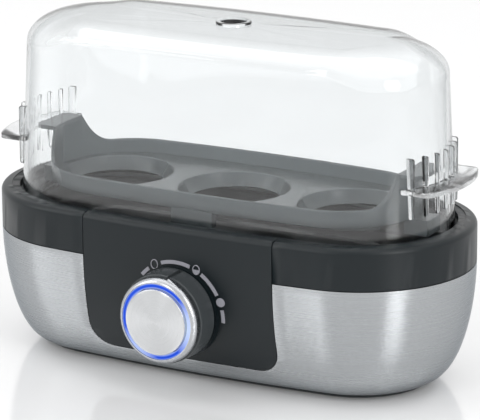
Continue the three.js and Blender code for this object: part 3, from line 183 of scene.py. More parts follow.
LID = {
    "inset": 8.03,
    "wall": 1.5,
    "rise": 66.4,
    "end_draft": 2.3,
    "side_draft": 4.3,
    "end_round": 20.8,
    "end_drop": 11.6,
    "side_round": 14,
    "side_drop": 6,
    "dome": 0.6,
    "end_share": 0.6,
    "hollow_round_share": 0.5,
    "hollow_drop_share": 0.25,
}
LID_TOP = COLLAR_TOP + LID["rise"]
CROWN_SHARES = (0.15, 0.35, 0.55, 0.75)
STEAM_HOLE = {"radius": 5, "ring_width": 1.6, "ring_height": 0.8}
GRIP = {"z": 78.2, "thickness": 1.9, "half_width": 20.5, "corner": 3, "root": 24, "edge": 0.35}
RIB = {
    "count": 7,
    "width": 35.4,
    "radius": 35.4,
    "depth": 5,
    "thickness": 1.2,
    "corner": 1,
    "bottom": 68.9,
    "top": 91.2,
    "edge": 0.25,
}

TRAY = {"half_length": 75, "half_width": 31.2, "end_radius": 29.6}
TRAY_FORM = {"under": 64.2, "floor": 1.8, "wall": 1.4, "rim": 71.2}
SEAT = {"pitch": 50, "radius": 20.6, "wall": 1.6, "drop": 3}
HANDLE = {"top": 82.6, "half_width": 10, "swoop": 11, "tab": 7.4, "thickness": 1.6}
LUG = {"half_width": 8.5, "root": 2.6, "proud": 0.7, "end_half_width": 5, "end_proud": 1.4}

# How finely curves are drawn: the steps of arcs and curves, and the sides of round pieces

END_STEPS = 48
SIDE_STEPS = 20
WALL_STEPS = 28
MARK_LAYER_STEPS = 20
RIM_STEPS = 8
WINDOW_STEPS = 12
EDGE_STEPS = 5
BAR_STEPS = 16
CROWN_STEPS = 16
GRIP_CORNER_STEPS = 10
GRIP_END_STEPS = 30
RIB_STEPS = 6
TRAY_END_STEPS = 72
TAB_STEPS = 8
KNOB_SIDES = 128
BORE_SIDES = 64
SEAT_SIDES = 72
SYMBOL_SIDES = 40
BAR_SIDES = 32

# Segments of a rounded edge, and the angles in degrees past which edges are rounded or shaded sharp

EDGE_SEGMENTS = 2
ROUNDED_PAST = 40
SHARP_PAST = 30
SKIRT_SHARP_PAST = 25
RIM_SHARP_PAST = 40
LIGHT_SHARP_PAST = 50

# Textures of the finishes: the heights of bumps in millimetres, and the ranges that steps run over

NOISE_MIDDLE = 0.5
GRAIN_HEIGHT = 0.05
SCRATCH_HEIGHT = 0.03
SCRATCH_TONES = (0.3, 0.7)
WORN_EDGES = (0.52, 0.62)
WORN_LIFT = 0.004
# The range of facing over which clear mouldings are painted darker when seen edge on: painted shade
PAINTED_EDGE_ON_SHADE = (0.5, 0.92)

# Camera, in the body's millimetres, with its roll in radians

CAMERA = {"spot": (599.6, -1064.4, 410.0), "target": (2.1, 0, 57.2), "roll": -0.007, "lens": 256.4}

# Studio, in metres: each softbox has a place, what it faces, its width and height, and its power in watts

SOFTBOXES = {
    "left softbox": ((-1.2, -0.9, 0.9), (0, 0, 0.06), (0.7, 1.2), 6),
    "right softbox": ((1.5, -0.7, 0.8), (0, 0, 0.06), (0.5, 1.2), 10),
    "front strip": ((-0.35, -1.4, 0.8), (0, 0, 0.03), (0.25, 1.0), 3),
    "overhead softbox": ((0, 0.2, 1.5), (0, 0, 0), (2.2, 1.6), 9),
}
FLOOR = {"size": 12, "glow": 0.08, "color": (0.96, 0.96, 0.965), "roughness": 0.13, "ior": 2.5}
WORLD_LEVEL = 0.5
WHITE = (1, 1, 1, 1)

# The body's upright axis, read from the frame, and the knob's axis

BODY_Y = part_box("steel_skirt")[1].y - BODY["half_width"] * MM
KNOB_AXIS = Vector((0, BODY_Y, KNOB["z"] * MM))


def place(x, y, z):
    """A point in the body's millimetres as a point of the frame."""
    return (x * MM, y * MM + BODY_Y, z * MM)


# Meshes


def new_object(name, data):
    made = bpy.data.objects.new(name, data)
    bpy.context.scene.collection.objects.link(made)
    return made


def new_piece(name, points, faces):
    """A closed mesh from points in the body's millimetres, with its faces turned outwards."""
    mesh = bpy.data.meshes.new(name)
    mesh.from_pydata([place(*p) for p in points], [], faces)
    shell = bmesh.new()
    shell.from_mesh(mesh)
    bmesh.ops.remove_doubles(shell, verts=shell.verts, dist=MM / 1000)
    bmesh.ops.recalc_face_normals(shell, faces=shell.faces)
    shell.to_mesh(mesh)
    shell.free()
    return new_object(name, mesh)


def settle(piece):
    """Makes what the modifiers of a piece do part of its mesh."""
    seen = piece.evaluated_get(bpy.context.evaluated_depsgraph_get())
    mesh = bpy.data.meshes.new_from_object(seen)
    piece.modifiers.clear()
    piece.data = mesh
    return piece


def combine(piece, tool, operation):
    """Joins a tool to a piece, cuts it out or keeps what both hold. The faces keep their materials."""
    modifier = piece.modifiers.new(operation, "BOOLEAN")
    modifier.solver = "MANIFOLD"
    modifier.operation = operation
    modifier.object = tool
    modifier.material_mode = "TRANSFER"
    settle(piece)
    bpy.data.objects.remove(tool)


def join(piece, tool):
    combine(piece, tool, "UNION")


def cut(piece, tool):
    combine(piece, tool, "DIFFERENCE")


def smooth(piece, angle=SHARP_PAST):
    """Shades a piece smooth, but for edges sharper than an angle in degrees."""
    piece.data.shade_smooth()
    piece.data.set_sharp_from_angle(angle=math.radians(angle))


def soften(piece, width, harden=False):
    """Rounds the sharp edges of a piece. Hardened normals are left out before another boolean."""
    bevel = piece.modifiers.new("rounded edges", "BEVEL")
    bevel.width = width * MM
    bevel.segments = EDGE_SEGMENTS
    bevel.limit_method = "ANGLE"
    bevel.angle_limit = math.radians(ROUNDED_PAST)
    bevel.harden_normals = harden
    return settle(piece)


def loft(name, rows, closed):
    """Rows of points joined into a closed surface: a ring when closed, otherwise capped at both ends."""
    count = len(rows[0])
    points = [tuple(p) for row in rows for p in row]
    faces = []
    for row in range(len(rows) if closed else len(rows) - 1):
        below = row * count
        above = (row + 1) % len(rows) * count
        for i in range(count):
            j = (i + 1) % count
            faces.append((below + i, below + j, above + j, above + i))
    if not closed:
        for row in (0, len(rows) - 1):
            points.append(tuple(sum((Vector(p) for p in rows[row]), Vector()) / count))
            hub = len(points) - 1
            start = row * count
            faces += [(start + i, start + (i + 1) % count, hub) for i in range(count)]
    return new_piece(name, points, faces)


def oval_centres(oval):
    """Of a four-arc oval: the end arcs' reach, the side arcs' radius and drop, and where they meet."""
    reach = oval["half_length"] - oval["end_radius"]
    spare = oval["half_width"] ** 2 - oval["end_radius"] ** 2 + reach**2
    side_radius = spare / (2 * (oval["half_width"] - oval["end_radius"]))
    drop = side_radius - oval["half_width"]
    return reach, side_radius, drop, math.atan2(drop, reach)


def oval_points(oval, inset, end_steps=END_STEPS):
    """The points of a four-arc oval drawn in by inset, each as (x, y, normal x, normal y)."""
    reach, side_radius, drop, turn = oval_centres(oval)
    arcs = (
        (reach, 0, oval["end_radius"], -turn, turn, end_steps),
        (0, -drop, side_radius, turn, math.pi - turn, SIDE_STEPS),
        (-reach, 0, oval["end_radius"], math.pi - turn, math.pi + turn, end_steps),
        (0, drop, side_radius, math.pi + turn, 2 * math.pi - turn, SIDE_STEPS),
    )
    found = []
    for x, y, radius, start, end, steps in arcs:
        for i in range(steps):
            angle = start + (end - start) * i / steps
            nx, ny = math.cos(angle), math.sin(angle)
            found.append((x + (radius - inset) * nx, y + (radius - inset) * ny, nx, ny))
    return found


def level(oval, inset, z):
    return [(x, y, z) for x, y, _, _ in oval_points(oval, inset)]


def ring(name, oval, profile, closed=True):
    """A piece that runs round an oval, from a profile of (inset, z)."""
    return loft(name, [level(oval, inset, z) for inset, z in profile], closed)


def arc(x, y, radius, start, end, steps):
    """Points on an arc, from start to end in degrees."""
    angles = (math.radians(start + (end - start) * i / steps) for i in range(steps + 1))
    return [(x + radius * math.cos(a), y + radius * math.sin(a)) for a in angles]


def offset(profile, distance):
    """A profile drawn off to its left."""
    moved = []
    for i, (x, y) in enumerate(profile):
        before = profile[max(i - 1, 0)]
        after = profile[min(i + 1, len(profile) - 1)]
        dx, dy = after[0] - before[0], after[1] - before[1]
        length = math.hypot(dx, dy)
        moved.append((x - dy / length * distance, y + dx / length * distance))
    return moved


def turned(name, profile, sides, x=0):
    """A turned piece on an upright axis, from a closed profile of (radius, z)."""
    turns = [2 * math.pi * i / sides for i in range(sides)]
    rows = [[(x + r * math.cos(turn), r * math.sin(turn), z) for r, z in profile] for turn in turns]
    return loft(name, rows, True)


def turned_forward(name, profile, sides=KNOB_SIDES):
    """A turned piece on the knob's axis, from a closed profile of (radius, y)."""
    turns = [2 * math.pi * i / sides for i in range(sides)]
    rows = [
        [(r * math.cos(turn), y, KNOB["z"] + r * math.sin(turn)) for r, y in profile] for turn in turns
    ]
    return loft(name, rows, True)


def prism(name, outline, low, high, axis="Z"):
    """An outline carried along an axis. Along Y it is drawn in X and Z."""
    if axis == "Z":
        points = [(a, b, c) for c in (low, high) for a, b in outline]
    else:
        points = [(a, c, b) for c in (low, high) for a, b in outline]
    count = len(outline)
    faces = [tuple(range(count)), tuple(range(count, 2 * count))]
    faces += [(i, (i + 1) % count, (i + 1) % count + count, i + count) for i in range(count)]
    return new_piece(name, points, faces)


def round_bar(name, radius, low, high, x, second, axis="Z", sides=BAR_SIDES):
    outline = arc(x, second, radius, 0, 360 - 360 / sides, sides - 1)
    return prism(name, outline, low, high, axis)


# Nodes


def feed(tree, node, values):
    """Sets the inputs of a node. A value that is another node's output is linked."""
    for name, value in values.items():
        if isinstance(value, bpy.types.NodeSocket):
            tree.links.new(value, node.inputs[name])
        else:
            node.inputs[name].default_value = value
    return node


def add(tree, kind, values=None, **settings):
    """A new node, with its inputs' values and its settings."""
    node = tree.nodes.new(kind)
    for name, value in settings.items():
        setattr(node, name, value)
    return feed(tree, node, values or {})


def maths(tree, operation, *values):
    return add(tree, "ShaderNodeMath", dict(enumerate(values)), operation=operation).outputs[0]


def vector_maths(tree, operation, *values):
    node = add(tree, "ShaderNodeVectorMath", dict(enumerate(values)), operation=operation)
    return node.outputs["Value" if operation in ("LENGTH", "DOT_PRODUCT") else "Vector"]


def ramp(tree, value, low, high, from_value=0.0, to_value=1.0):
    """A linear step of a value from one range to another."""
    ranges = {"From Min": low, "From Max": high, "To Min": from_value, "To Max": to_value}
    return add(tree, "ShaderNodeMapRange", {"Value": value, **ranges}).outputs[0]


def mixed(tree, factor, first, second):
    """The colour between two colours that a factor picks. The node's colour sockets go by number."""
    first_socket, second_socket, result = 6, 7, 2
    values = {"Factor": factor, first_socket: first, second_socket: second}
    return add(tree, "ShaderNodeMix", values, data_type="RGBA").outputs[result]


def noise(tree, vector, values):
    return add(tree, "ShaderNodeTexNoise", {"Vector": vector, **values}).outputs["Fac"]


def object_place(tree):
    return add(tree, "ShaderNodeTexCoord").outputs["Object"]


def new_tree(kind, name, inputs, outputs):
    """A node tree with named inputs, some with a value, and outputs. Returns it and its two ends."""
    tree = bpy.data.node_groups.new(name, kind)
    for socket, data, *value in inputs:
        made = tree.interface.new_socket(socket, in_out="INPUT", socket_type=f"NodeSocket{data}")
        if value:
            made.default_value = value[0]
    for socket, data in outputs:
        tree.interface.new_socket(socket, in_out="OUTPUT", socket_type=f"NodeSocket{data}")
    return tree, add(tree, "NodeGroupInput").outputs, add(tree, "NodeGroupOutput")


# Geometry Nodes


def rib_pattern_tree():
    """Repeats a rib, unturned, along the round end of the body, and again at the other end."""
    inputs = (
        ("Geometry", "Geometry"),
        ("Count", "Int"),
        ("Width", "Float"),
        ("Radius", "Float"),
        ("Centre", "Vector"),
        ("Far Centre", "Vector"),
        ("Finish", "Material"),
    )
    outputs = (("Geometry", "Geometry"),)
    tree, given, put = new_tree("GeometryNodeTree", "rib pattern at both ends", inputs, outputs)
    points = add(tree, "GeometryNodePoints", {"Count": given["Count"]}).outputs[0]
    index = add(tree, "GeometryNodeInputIndex").outputs[0]
    share = maths(tree, "DIVIDE", index, maths(tree, "SUBTRACT", given["Count"], 1))
    across = maths(tree, "MULTIPLY", maths(tree, "SUBTRACT", share, 0.5), given["Width"])
    turn = maths(tree, "ARCSINE", maths(tree, "DIVIDE", across, given["Radius"]))
    along = maths(tree, "MULTIPLY", maths(tree, "COSINE", turn), given["Radius"])
    spot = add(tree, "ShaderNodeCombineXYZ", {"X": along, "Y": across}).outputs[0]
    row = add(tree, "GeometryNodeSetPosition", {"Geometry": points, "Position": spot}).outputs[0]
    rib = {"Points": row, "Instance": given["Geometry"]}
    ribs = add(tree, "GeometryNodeInstanceOnPoints", rib).outputs[0]
    both = add(tree, "GeometryNodeJoinGeometry")
    for centre, half_turn in (("Centre", 0), ("Far Centre", math.pi)):
        move = {"Geometry": ribs, "Translation": given[centre], "Rotation": (0, 0, half_turn)}
        feed(tree, both, {0: add(tree, "GeometryNodeTransform", move).outputs[0]})
    real = add(tree, "GeometryNodeRealizeInstances", {"Geometry": both.outputs[0]}).outputs[0]
    finish = add(tree, "GeometryNodeSetMaterial", {"Geometry": real, "Material": given["Finish"]})
    feed(tree, put, {"Geometry": finish.outputs[0]})
    return tree


def run_tree(piece, tree, values):
    """Runs a Geometry Nodes tree on a piece, with its inputs given by name, and keeps the plain mesh."""
    modifier = piece.modifiers.new(tree.name, "NODES")
    modifier.node_group = tree
    for item in tree.interface.items_tree:
        if item.in_out == "INPUT" and item.name in values:
            modifier[item.identifier] = values[item.name]
    return settle(piece)


# Shader groups


def uneven(group, given, swings, bumps, height):
    """A roughness that swings with one noise, and a normal with bumps of a height from another."""
    swing = maths(group, "SUBTRACT", swings, NOISE_MIDDLE)
    bump = {"Distance": height * MM, "Strength": given["Depth"], "Height": bumps}
    return {
        "Roughness": maths(group, "MULTIPLY_ADD", swing, given["Variation"], given["Roughness"]),
        "Normal": add(group, "ShaderNodeBump", bump).outputs[0],
    }


def grain_group():
    """The fine spark-eroded texture of a moulding: a roughness that varies and a shallow bump."""
    inputs = (
        ("Scale", "Float", 1500.0),
        ("Roughness", "Float", 0.3),
        ("Variation", "Float", 0.05),
        ("Depth", "Float", 0.1),
    )
    outputs = (("Roughness", "Float"), ("Normal", "Vector"))
    group, given, put = new_tree("ShaderNodeTree", "moulded grain", inputs, outputs)
    where = object_place(group)
    fine = noise(group, where, {"Scale": given["Scale"], "Detail": 3.0, "Roughness": 0.6})
    broad = noise(group, where, {"Scale": 35.0, "Detail": 4.0})
    feed(group, put, uneven(group, given, broad, fine, GRAIN_HEIGHT))
    return group


def brushing_group():
    """Fine parallel scratches. Stretch sets how the lines run: small along them, large across."""
    inputs = (
        ("Vector", "Vector", (0, 0, 0)),
        ("Stretch", "Vector", (6, 6, 2500)),
        ("Roughness", "Float", 0.3),
        ("Variation", "Float", 0.15),
        ("Depth", "Float", 0.1),
    )
    outputs = (("Tone", "Float"), ("Roughness", "Float"), ("Normal", "Vector"))
    group, given, put = new_tree("ShaderNodeTree", "brushing", inputs, outputs)
    stretched = vector_maths(group, "MULTIPLY", given["Vector"], given["Stretch"])
    lines = noise(group, stretched, {"Scale": 1.0, "Detail": 5.0, "Roughness": 0.7})
    feed(group, put, {"Tone": ramp(group, lines, *SCRATCH_TONES)})
    feed(group, put, uneven(group, given, lines, lines, SCRATCH_HEIGHT))
    return group


def wear_group():
    """A colour that is a little lighter where edges have been rubbed."""
    inputs = (
        ("Color", "Color", (0.5, 0.5, 0.5, 1)),
        ("Worn Color", "Color", (0.6, 0.6, 0.6, 1)),
        ("Amount", "Float", 0.4),
    )
    group, given, put = new_tree("ShaderNodeTree", "edge wear", inputs, (("Color", "Color"),))
    shape = add(group, "ShaderNodeNewGeometry").outputs["Pointiness"]
    patches = noise(group, object_place(group), {"Scale": 240.0, "Detail": 4.0})
    rubbed = maths(group, "MULTIPLY", ramp(group, shape, *WORN_EDGES), patches)
    amount = maths(group, "MULTIPLY", rubbed, given["Amount"])
    feed(group, put, {"Color": mixed(group, amount, given["Color"], given["Worn Color"])})
    return group


GRAIN = grain_group()
BRUSHING = brushing_group()
WEAR = wear_group()


def grouped(tree, group, **values):
    """Places a shader group with its values, named as its inputs are, and returns its outputs."""
    node = add(tree, "ShaderNodeGroup", node_tree=group)
    return feed(tree, node, {name.replace("_", " ").title(): v for name, v in values.items()}).outputs


def grained(tree, **values):
    """The roughness and normal that the moulded grain gives a shader."""
    grain = grouped(tree, GRAIN, **values)
    return {"Roughness": grain["Roughness"], "Normal": grain["Normal"]}


# Finishes


def new_finish(name):
    """A material with a plain Principled BSDF. Returns the material, its tree and the shader."""
    material = bpy.data.materials.new(name)
    material.use_nodes = True
    tree = material.node_tree
    return material, tree, tree.nodes["Principled BSDF"]


def opaque(color, share=1):
    return (*(c * share for c in color), 1)


def plastic(name, color, roughness, depth=0.1, worn=1.6, gloss=0.5, scale=1500.0):
    """A moulded plastic: coloured through, finely grained, a little polished at its edges."""
    material, tree, shader = new_finish(name)
    rubbed = tuple(min(worn * c + WORN_LIFT, 1) for c in color)
    wear = grouped(tree, WEAR, color=opaque(color), worn_color=opaque(rubbed), amount=0.5)
    grain = grained(tree, scale=scale, roughness=roughness, variation=0.05, depth=depth)
    feed(tree, shader, {"Base Color": wear["Color"], "Specular IOR Level": gloss, **grain})
    return material


def metal(name, color, brush, tone_share, anisotropic, axis, tint=(1, 1, 1)):
    """A metal with fine scratches that brush() places, and a gloss drawn out round an axis."""
    material, tree, shader = new_finish(name)
    lines = brush(tree)
    along = add(tree, "ShaderNodeTangent", direction_type="RADIAL", axis=axis)
    values = {
        "Base Color": mixed(tree, lines["Tone"], opaque(color, 1 - tone_share), opaque(color)),
        "Roughness": lines["Roughness"],
        "Normal": lines["Normal"],
        "Metallic": 1.0,
        "Specular Tint": opaque(tint),
        "Anisotropic": anisotropic,
        "Anisotropic Rotation": 0.25,
        "Tangent": along.outputs[0],
    }
    feed(tree, shader, values)
    return material


def brushed_metal(name, color, roughness, stretch, anisotropic=0.6, depth=0.1, tone_share=0.12):
    """A metal brushed in straight lines along the directions whose stretch is small."""

    def brush(tree):
        values = {"stretch": stretch, "roughness": roughness, "depth": depth}
        return grouped(tree, BRUSHING, vector=object_place(tree), **values)

    return metal(name, color, brush, tone_share, anisotropic, "Z", tint=(0.6, 0.62, 0.64))


def from_knob_axis(tree):
    """How far and which way a point lies from the knob's axis."""
    centred = vector_maths(tree, "SUBTRACT", object_place(tree), KNOB_AXIS)
    return vector_maths(tree, "MULTIPLY", centred, (1, 0, 1))


def turned_metal(name, color, roughness):
    """A metal face brushed in rings about the knob's axis."""

    def brush(tree):
        away = vector_maths(tree, "LENGTH", from_knob_axis(tree))
        radius = add(tree, "ShaderNodeCombineXYZ", {"X": away}).outputs[0]
        values = {"stretch": (3500, 1, 1), "roughness": roughness, "depth": 0.25}
        return grouped(tree, BRUSHING, vector=radius, **values)

    return metal(name, color, brush, tone_share=0.15, anisotropic=0.85, axis="Y")


# The knob's light: bluest along the middle of its ring, paler at its edges, and with painted glints, which
# are painted highlights at set angles

RING_LIGHT = {
    "middle": (KNOB["light_inner"] + KNOB["rim_inner"]) / 2,
    "even_reach": 0.3,
    "pale_reach": 0.75,
    "pale_share": 0.45,
    "color": (0.0, 0.075, 0.62),
    "pale_and_glints": (0.75, 0.9, 1.0),
    "strength": 0.75,
}

# Each painted glint has an angle in degrees, the cosine at which its paleness ends and a share of full
# brightness

PAINTED_GLINTS = ((-2, 0.68, 1), (233, 0.78, 0.75))


def lit_ring(name):
    """Blue translucent plastic lit from behind, with white glints painted into its glow at set angles:
    painted highlights.
    """
    material, tree, shader = new_finish(name)
    away = from_knob_axis(tree)
    outward = vector_maths(tree, "NORMALIZE", away)
    off_middle = maths(tree, "SUBTRACT", vector_maths(tree, "LENGTH", away), RING_LIGHT["middle"] * MM)
    reaches = RING_LIGHT["even_reach"] * MM, RING_LIGHT["pale_reach"] * MM
    pale_and_glints = ramp(tree, maths(tree, "ABSOLUTE", off_middle), *reaches, 0.0, RING_LIGHT["pale_share"])
    for angle, end, share in PAINTED_GLINTS:
        turn = math.radians(angle)
        toward = vector_maths(tree, "DOT_PRODUCT", outward, (math.cos(turn), 0, math.sin(turn)))
        # Painted highlight: the glow turns pale towards each glint's angle
        pale_and_glints = maths(tree, "MAXIMUM", pale_and_glints, ramp(tree, toward, end, 1.0, 0.0, share))
    values = {
        "Emission Color": mixed(tree, pale_and_glints, opaque(RING_LIGHT["color"]), opaque(RING_LIGHT["pale_and_glints"])),
        "Emission Strength": RING_LIGHT["strength"],
        "Base Color": (0.004, 0.02, 0.3, 1),
        "Specular IOR Level": 0.2,
        **grained(tree, scale=900.0, roughness=0.18, variation=0.1, depth=0.05),
    }
    feed(tree, shader, values)
    return material


def clear_moulding(name, color, edge_on_shade_color, roughness, depth, weight=1.0):
    """A clear or smoked moulding, with faint flow marks, whose colour is painted darker where it is seen
    edge on: painted shade.
    """
    material, tree, shader = new_finish(name)
    facing = add(tree, "ShaderNodeLayerWeight", {"Blend": 0.5}).outputs["Facing"]
    # Painted shade: the colour turns towards the second colour where the surface is seen edge on
    edge_on = ramp(tree, facing, *PAINTED_EDGE_ON_SHADE)
    values = {
        "Base Color": mixed(tree, edge_on, opaque(color), opaque(edge_on_shade_color)),
        "IOR": 1.49,
        "Transmission Weight": weight,
        **grained(tree, scale=45.0, roughness=roughness, variation=0.03, depth=depth),
    }
    feed(tree, shader, values)
    return material


BLACK = plastic("black moulded plastic", (0.004, 0.0082, 0.0105), 0.37, gloss=0.34)
BLACK_DRUM = plastic("glossy black plastic", (0.055, 0.062, 0.066), 0.26, depth=0.04, gloss=0.3)
PRINT = plastic("pale grey print", (0.34, 0.34, 0.38), 0.45, worn=1.1)
RUBBER = plastic("black rubber", (0.015, 0.015, 0.016), 0.7, depth=0.3, scale=900.0)
SILICONE = plastic("grey silicone", (0.32, 0.33, 0.34), 0.6, depth=0.2)
COATING = plastic("non-stick coating", (0.012, 0.012, 0.013), 0.35, depth=0.35, scale=700.0)
BOARD_GREEN = plastic("green circuit board", (0.02, 0.12, 0.05), 0.4)
PART_BLACK = plastic("black component", (0.014, 0.014, 0.016), 0.45)
PART_BLUE = plastic("blue component", (0.03, 0.12, 0.35), 0.4)
IVORY = plastic("ivory component", (0.62, 0.57, 0.46), 0.45)
FROSTED = plastic("frosted light plastic", (0.75, 0.78, 0.82), 0.5)
WIRE_RED = plastic("red wire", (0.35, 0.03, 0.02), 0.45)
WIRE_BLUE = plastic("blue wire", (0.02, 0.08, 0.35), 0.45)
STEEL = brushed_metal(
    "brushed steel", (0.405, 0.42, 0.432), 0.27, stretch=(5, 5, 2600), depth=0.03, tone_share=0.04
)
ZINC = brushed_metal("zinc-plated steel", (0.55, 0.56, 0.58), 0.4, stretch=(300, 300, 900), anisotropic=0.2)
BRASS = brushed_metal("brass", (0.72, 0.5, 0.2), 0.35, stretch=(300, 300, 900), anisotropic=0.2)
CHROME = brushed_metal(
    "satin chrome",
    (0.48, 0.49, 0.51),
    0.26,
    stretch=(400, 900, 400),
    anisotropic=0.3,
    depth=0.02,
    tone_share=0.04,
)
CAP = turned_metal("ring-brushed aluminium", (0.63, 0.64, 0.65), 0.26)
BLUE_LIGHT = lit_ring("blue lit plastic")
# The second colour of each clear moulding is its painted shade where it is seen edge on
CLEAR = clear_moulding(
    "clear moulded plastic", (0.96, 0.975, 0.98), (0.24, 0.27, 0.28), roughness=0.02, depth=0.02
)
SATIN_CLEAR = clear_moulding(
    "satin clear plastic", (0.96, 0.97, 0.975), (0.8, 0.82, 0.83), roughness=0.16, depth=0.02
)
SMOKED = clear_moulding(
    "smoked moulded plastic", (0.21, 0.24, 0.25), (0.15, 0.17, 0.18), 0.25, depth=0.03, weight=0.5
)


def wear_finish(piece, finish):
    """Gives a piece its finish, unless its parts already wear their own."""
    if len(piece.data.materials) < 2:
        piece.data.materials.clear()
        piece.data.materials.append(finish)


def finish_piece(piece, finish, body, slot, *nodes):
    """Gives a finished piece its material and its body, and hides the CAD nodes that it stands for. The
    slot is not used.
    """
    wear_finish(piece, finish)
    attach(piece, body)
    if nodes:
        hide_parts(*nodes)


# The outer wall that the skirt, the collar and the panel share


def wall_inset(z):
    share = min(max((SEAM - z) / SKIRT["height"], 0), 1)
    return SKIRT["tuck"] * (1 - math.sqrt(1 - share ** SKIRT["power"]))


def wall_curve(lowest, highest, steps=WALL_STEPS):
    """The wall's profile from a height down to a lower one, as (inset, z)."""
    start = math.asin(min((SEAM - highest) / SKIRT["height"], 1))
    end = math.asin(min((SEAM - lowest) / SKIRT["height"], 1))
    turns = [start + (end - start) * i / steps for i in range(steps + 1)]
    heights = [SEAM - SKIRT["height"] * math.sin(turn) for turn in turns]
    return [(wall_inset(z), z) for z in heights]


def rim_profile():
    """The collar's rounded upper rim and its flat top, which slopes up to the lip."""
    radius = COLLAR["rim_radius"]
    return [
        *arc(radius, COLLAR_TOP - radius, radius, 180, 90, RIM_STEPS),
        (COLLAR["lip_inset"], COLLAR_TOP + COLLAR["lip_rise"]),
    ]


def window(name, clearance):
    """The opening that the control panel fills, drawn in by a clearance."""
    half = PANEL["half_width"] - clearance
    bottom = PANEL["bottom"] + clearance
    radius = PANEL["corner"] - clearance
    top = COLLAR_TOP + OVERRUN
    outline = [
        (half, top),
        (-half, top),
        *arc(radius - half, bottom + radius, radius, 180, 270, WINDOW_STEPS),
        *arc(half - radius, bottom + radius, radius, 270, 360, WINDOW_STEPS),
    ]
    return prism(name, outline, -BODY["half_width"] - OVERRUN, 0, "Y")


def rear_wall_matrix():
    """Stands something made along Z square on the rear wall, where the cord comes out."""
    _, side_radius, drop, _ = oval_centres(BODY)
    inset = wall_inset(GROMMET["z"])
    y = math.sqrt((side_radius - inset) ** 2 - GROMMET["x"] ** 2) - drop
    tilt = math.atan2(wall_inset(GROMMET["z"] - GAP) - wall_inset(GROMMET["z"] + GAP), 2 * GAP)
    spot = Matrix.Translation(place(GROMMET["x"], y, GROMMET["z"]))
    turn = Matrix.Rotation(-math.asin(GROMMET["x"] / side_radius), 4, "Z")
    return spot @ turn @ Matrix.Rotation(-tilt - math.pi / 2, 4, "X")


def steel_skirt():
    outer = wall_curve(SKIRT["bottom"], SEAM - GAP)
    flange = SKIRT["tuck"] + SKIRT["flange"]
    profile = [
        *outer,
        (flange, SKIRT["bottom"]),
        (flange, SKIRT["bottom"] + SKIRT["wall"]),
        *reversed(offset(outer, SKIRT["wall"])),
    ]
    piece = ring("skirt", BODY, profile)
    cut(piece, window("skirt window", 0))
    hole = round_bar("cord hole", GROMMET["neck"] + GAP, -GROMMET["reach"], GROMMET["reach"], 0, 0)
    hole.data.transform(rear_wall_matrix() @ Matrix.Translation((0, -BODY_Y, 0)))
    cut(piece, hole)
    soften(piece, SKIRT["edge"])
    smooth(piece, SKIRT_SHARP_PAST)
    finish_piece(piece, STEEL, "base", "skirt_steel", "steel_skirt")


def collar():
    inner = SKIRT["wall"] + GAP
    skirt_inset = inner + COLLAR["skirt_wall"]
    wall_start = COLLAR["inner_inset"]
    wall_end = wall_start - COLLAR["inner_wall"]
    roof = COLLAR_TOP - COLLAR["wall"]
    wall_under = LEDGE_UNDER - COLLAR["inner_wall"]
    low = SEAM - COLLAR["skirt_drop"]
    profile = [
        (0, SEAM),
        *rim_profile(),
        (COLLAR["lip_inset"], COLLAR_TOP),
        (wall_start, COLLAR_TOP),
        (wall_start, LEDGE_TOP),
        (wall_start + LEDGE["lip"], LEDGE_TOP),
        (wall_start + LEDGE["lip"], LIP_UNDER),
        (wall_start, LIP_UNDER),
        (wall_start, wall_under),
        (wall_end, wall_under),
        (wall_end, roof),
        (skirt_inset, roof),
        (skirt_inset, low),
        (inner, low),
        (inner, SEAM),
    ]
    piece = ring("collar_ring", BODY, profile)
    lip_cut = COLLAR["lip_inset"] + GAP
    room_profile = [
        (-OVERRUN, SKIRT["bottom"]),
        (-OVERRUN, COLLAR_TOP + OVERRUN),
        (lip_cut, COLLAR_TOP + OVERRUN),
        (lip_cut, SKIRT["bottom"]),
    ]
    room = ring("panel room", BODY, room_profile)
    combine(room, window("panel window", 0), "INTERSECT")
    cut(piece, room)
    soften(piece, COLLAR["edge"], harden=True)
    smooth(piece)
    finish_piece(piece, BLACK, "base", "black_plastic", "collar")


def ledge_ring():
    """The heat-proof ring that lid and tray stand on, held under the collar's lip."""
    outer = COLLAR["inner_inset"] + GAP
    shoulder = outer + LEDGE["lip"]
    profile = [
        (shoulder, LEDGE_TOP),
        (LEDGE["inset"], LEDGE_TOP),
        (LEDGE["inset"], LEDGE_UNDER),
        (outer, LEDGE_UNDER),
        (outer, LIP_UNDER - GAP),
        (shoulder, LIP_UNDER - GAP),
    ]
    piece = ring("ledge", BODY, profile)
    soften(piece, LEDGE["edge"], harden=True)
    smooth(piece)
    finish_piece(piece, BLACK, "base", "black_plastic", "ledge_ring")


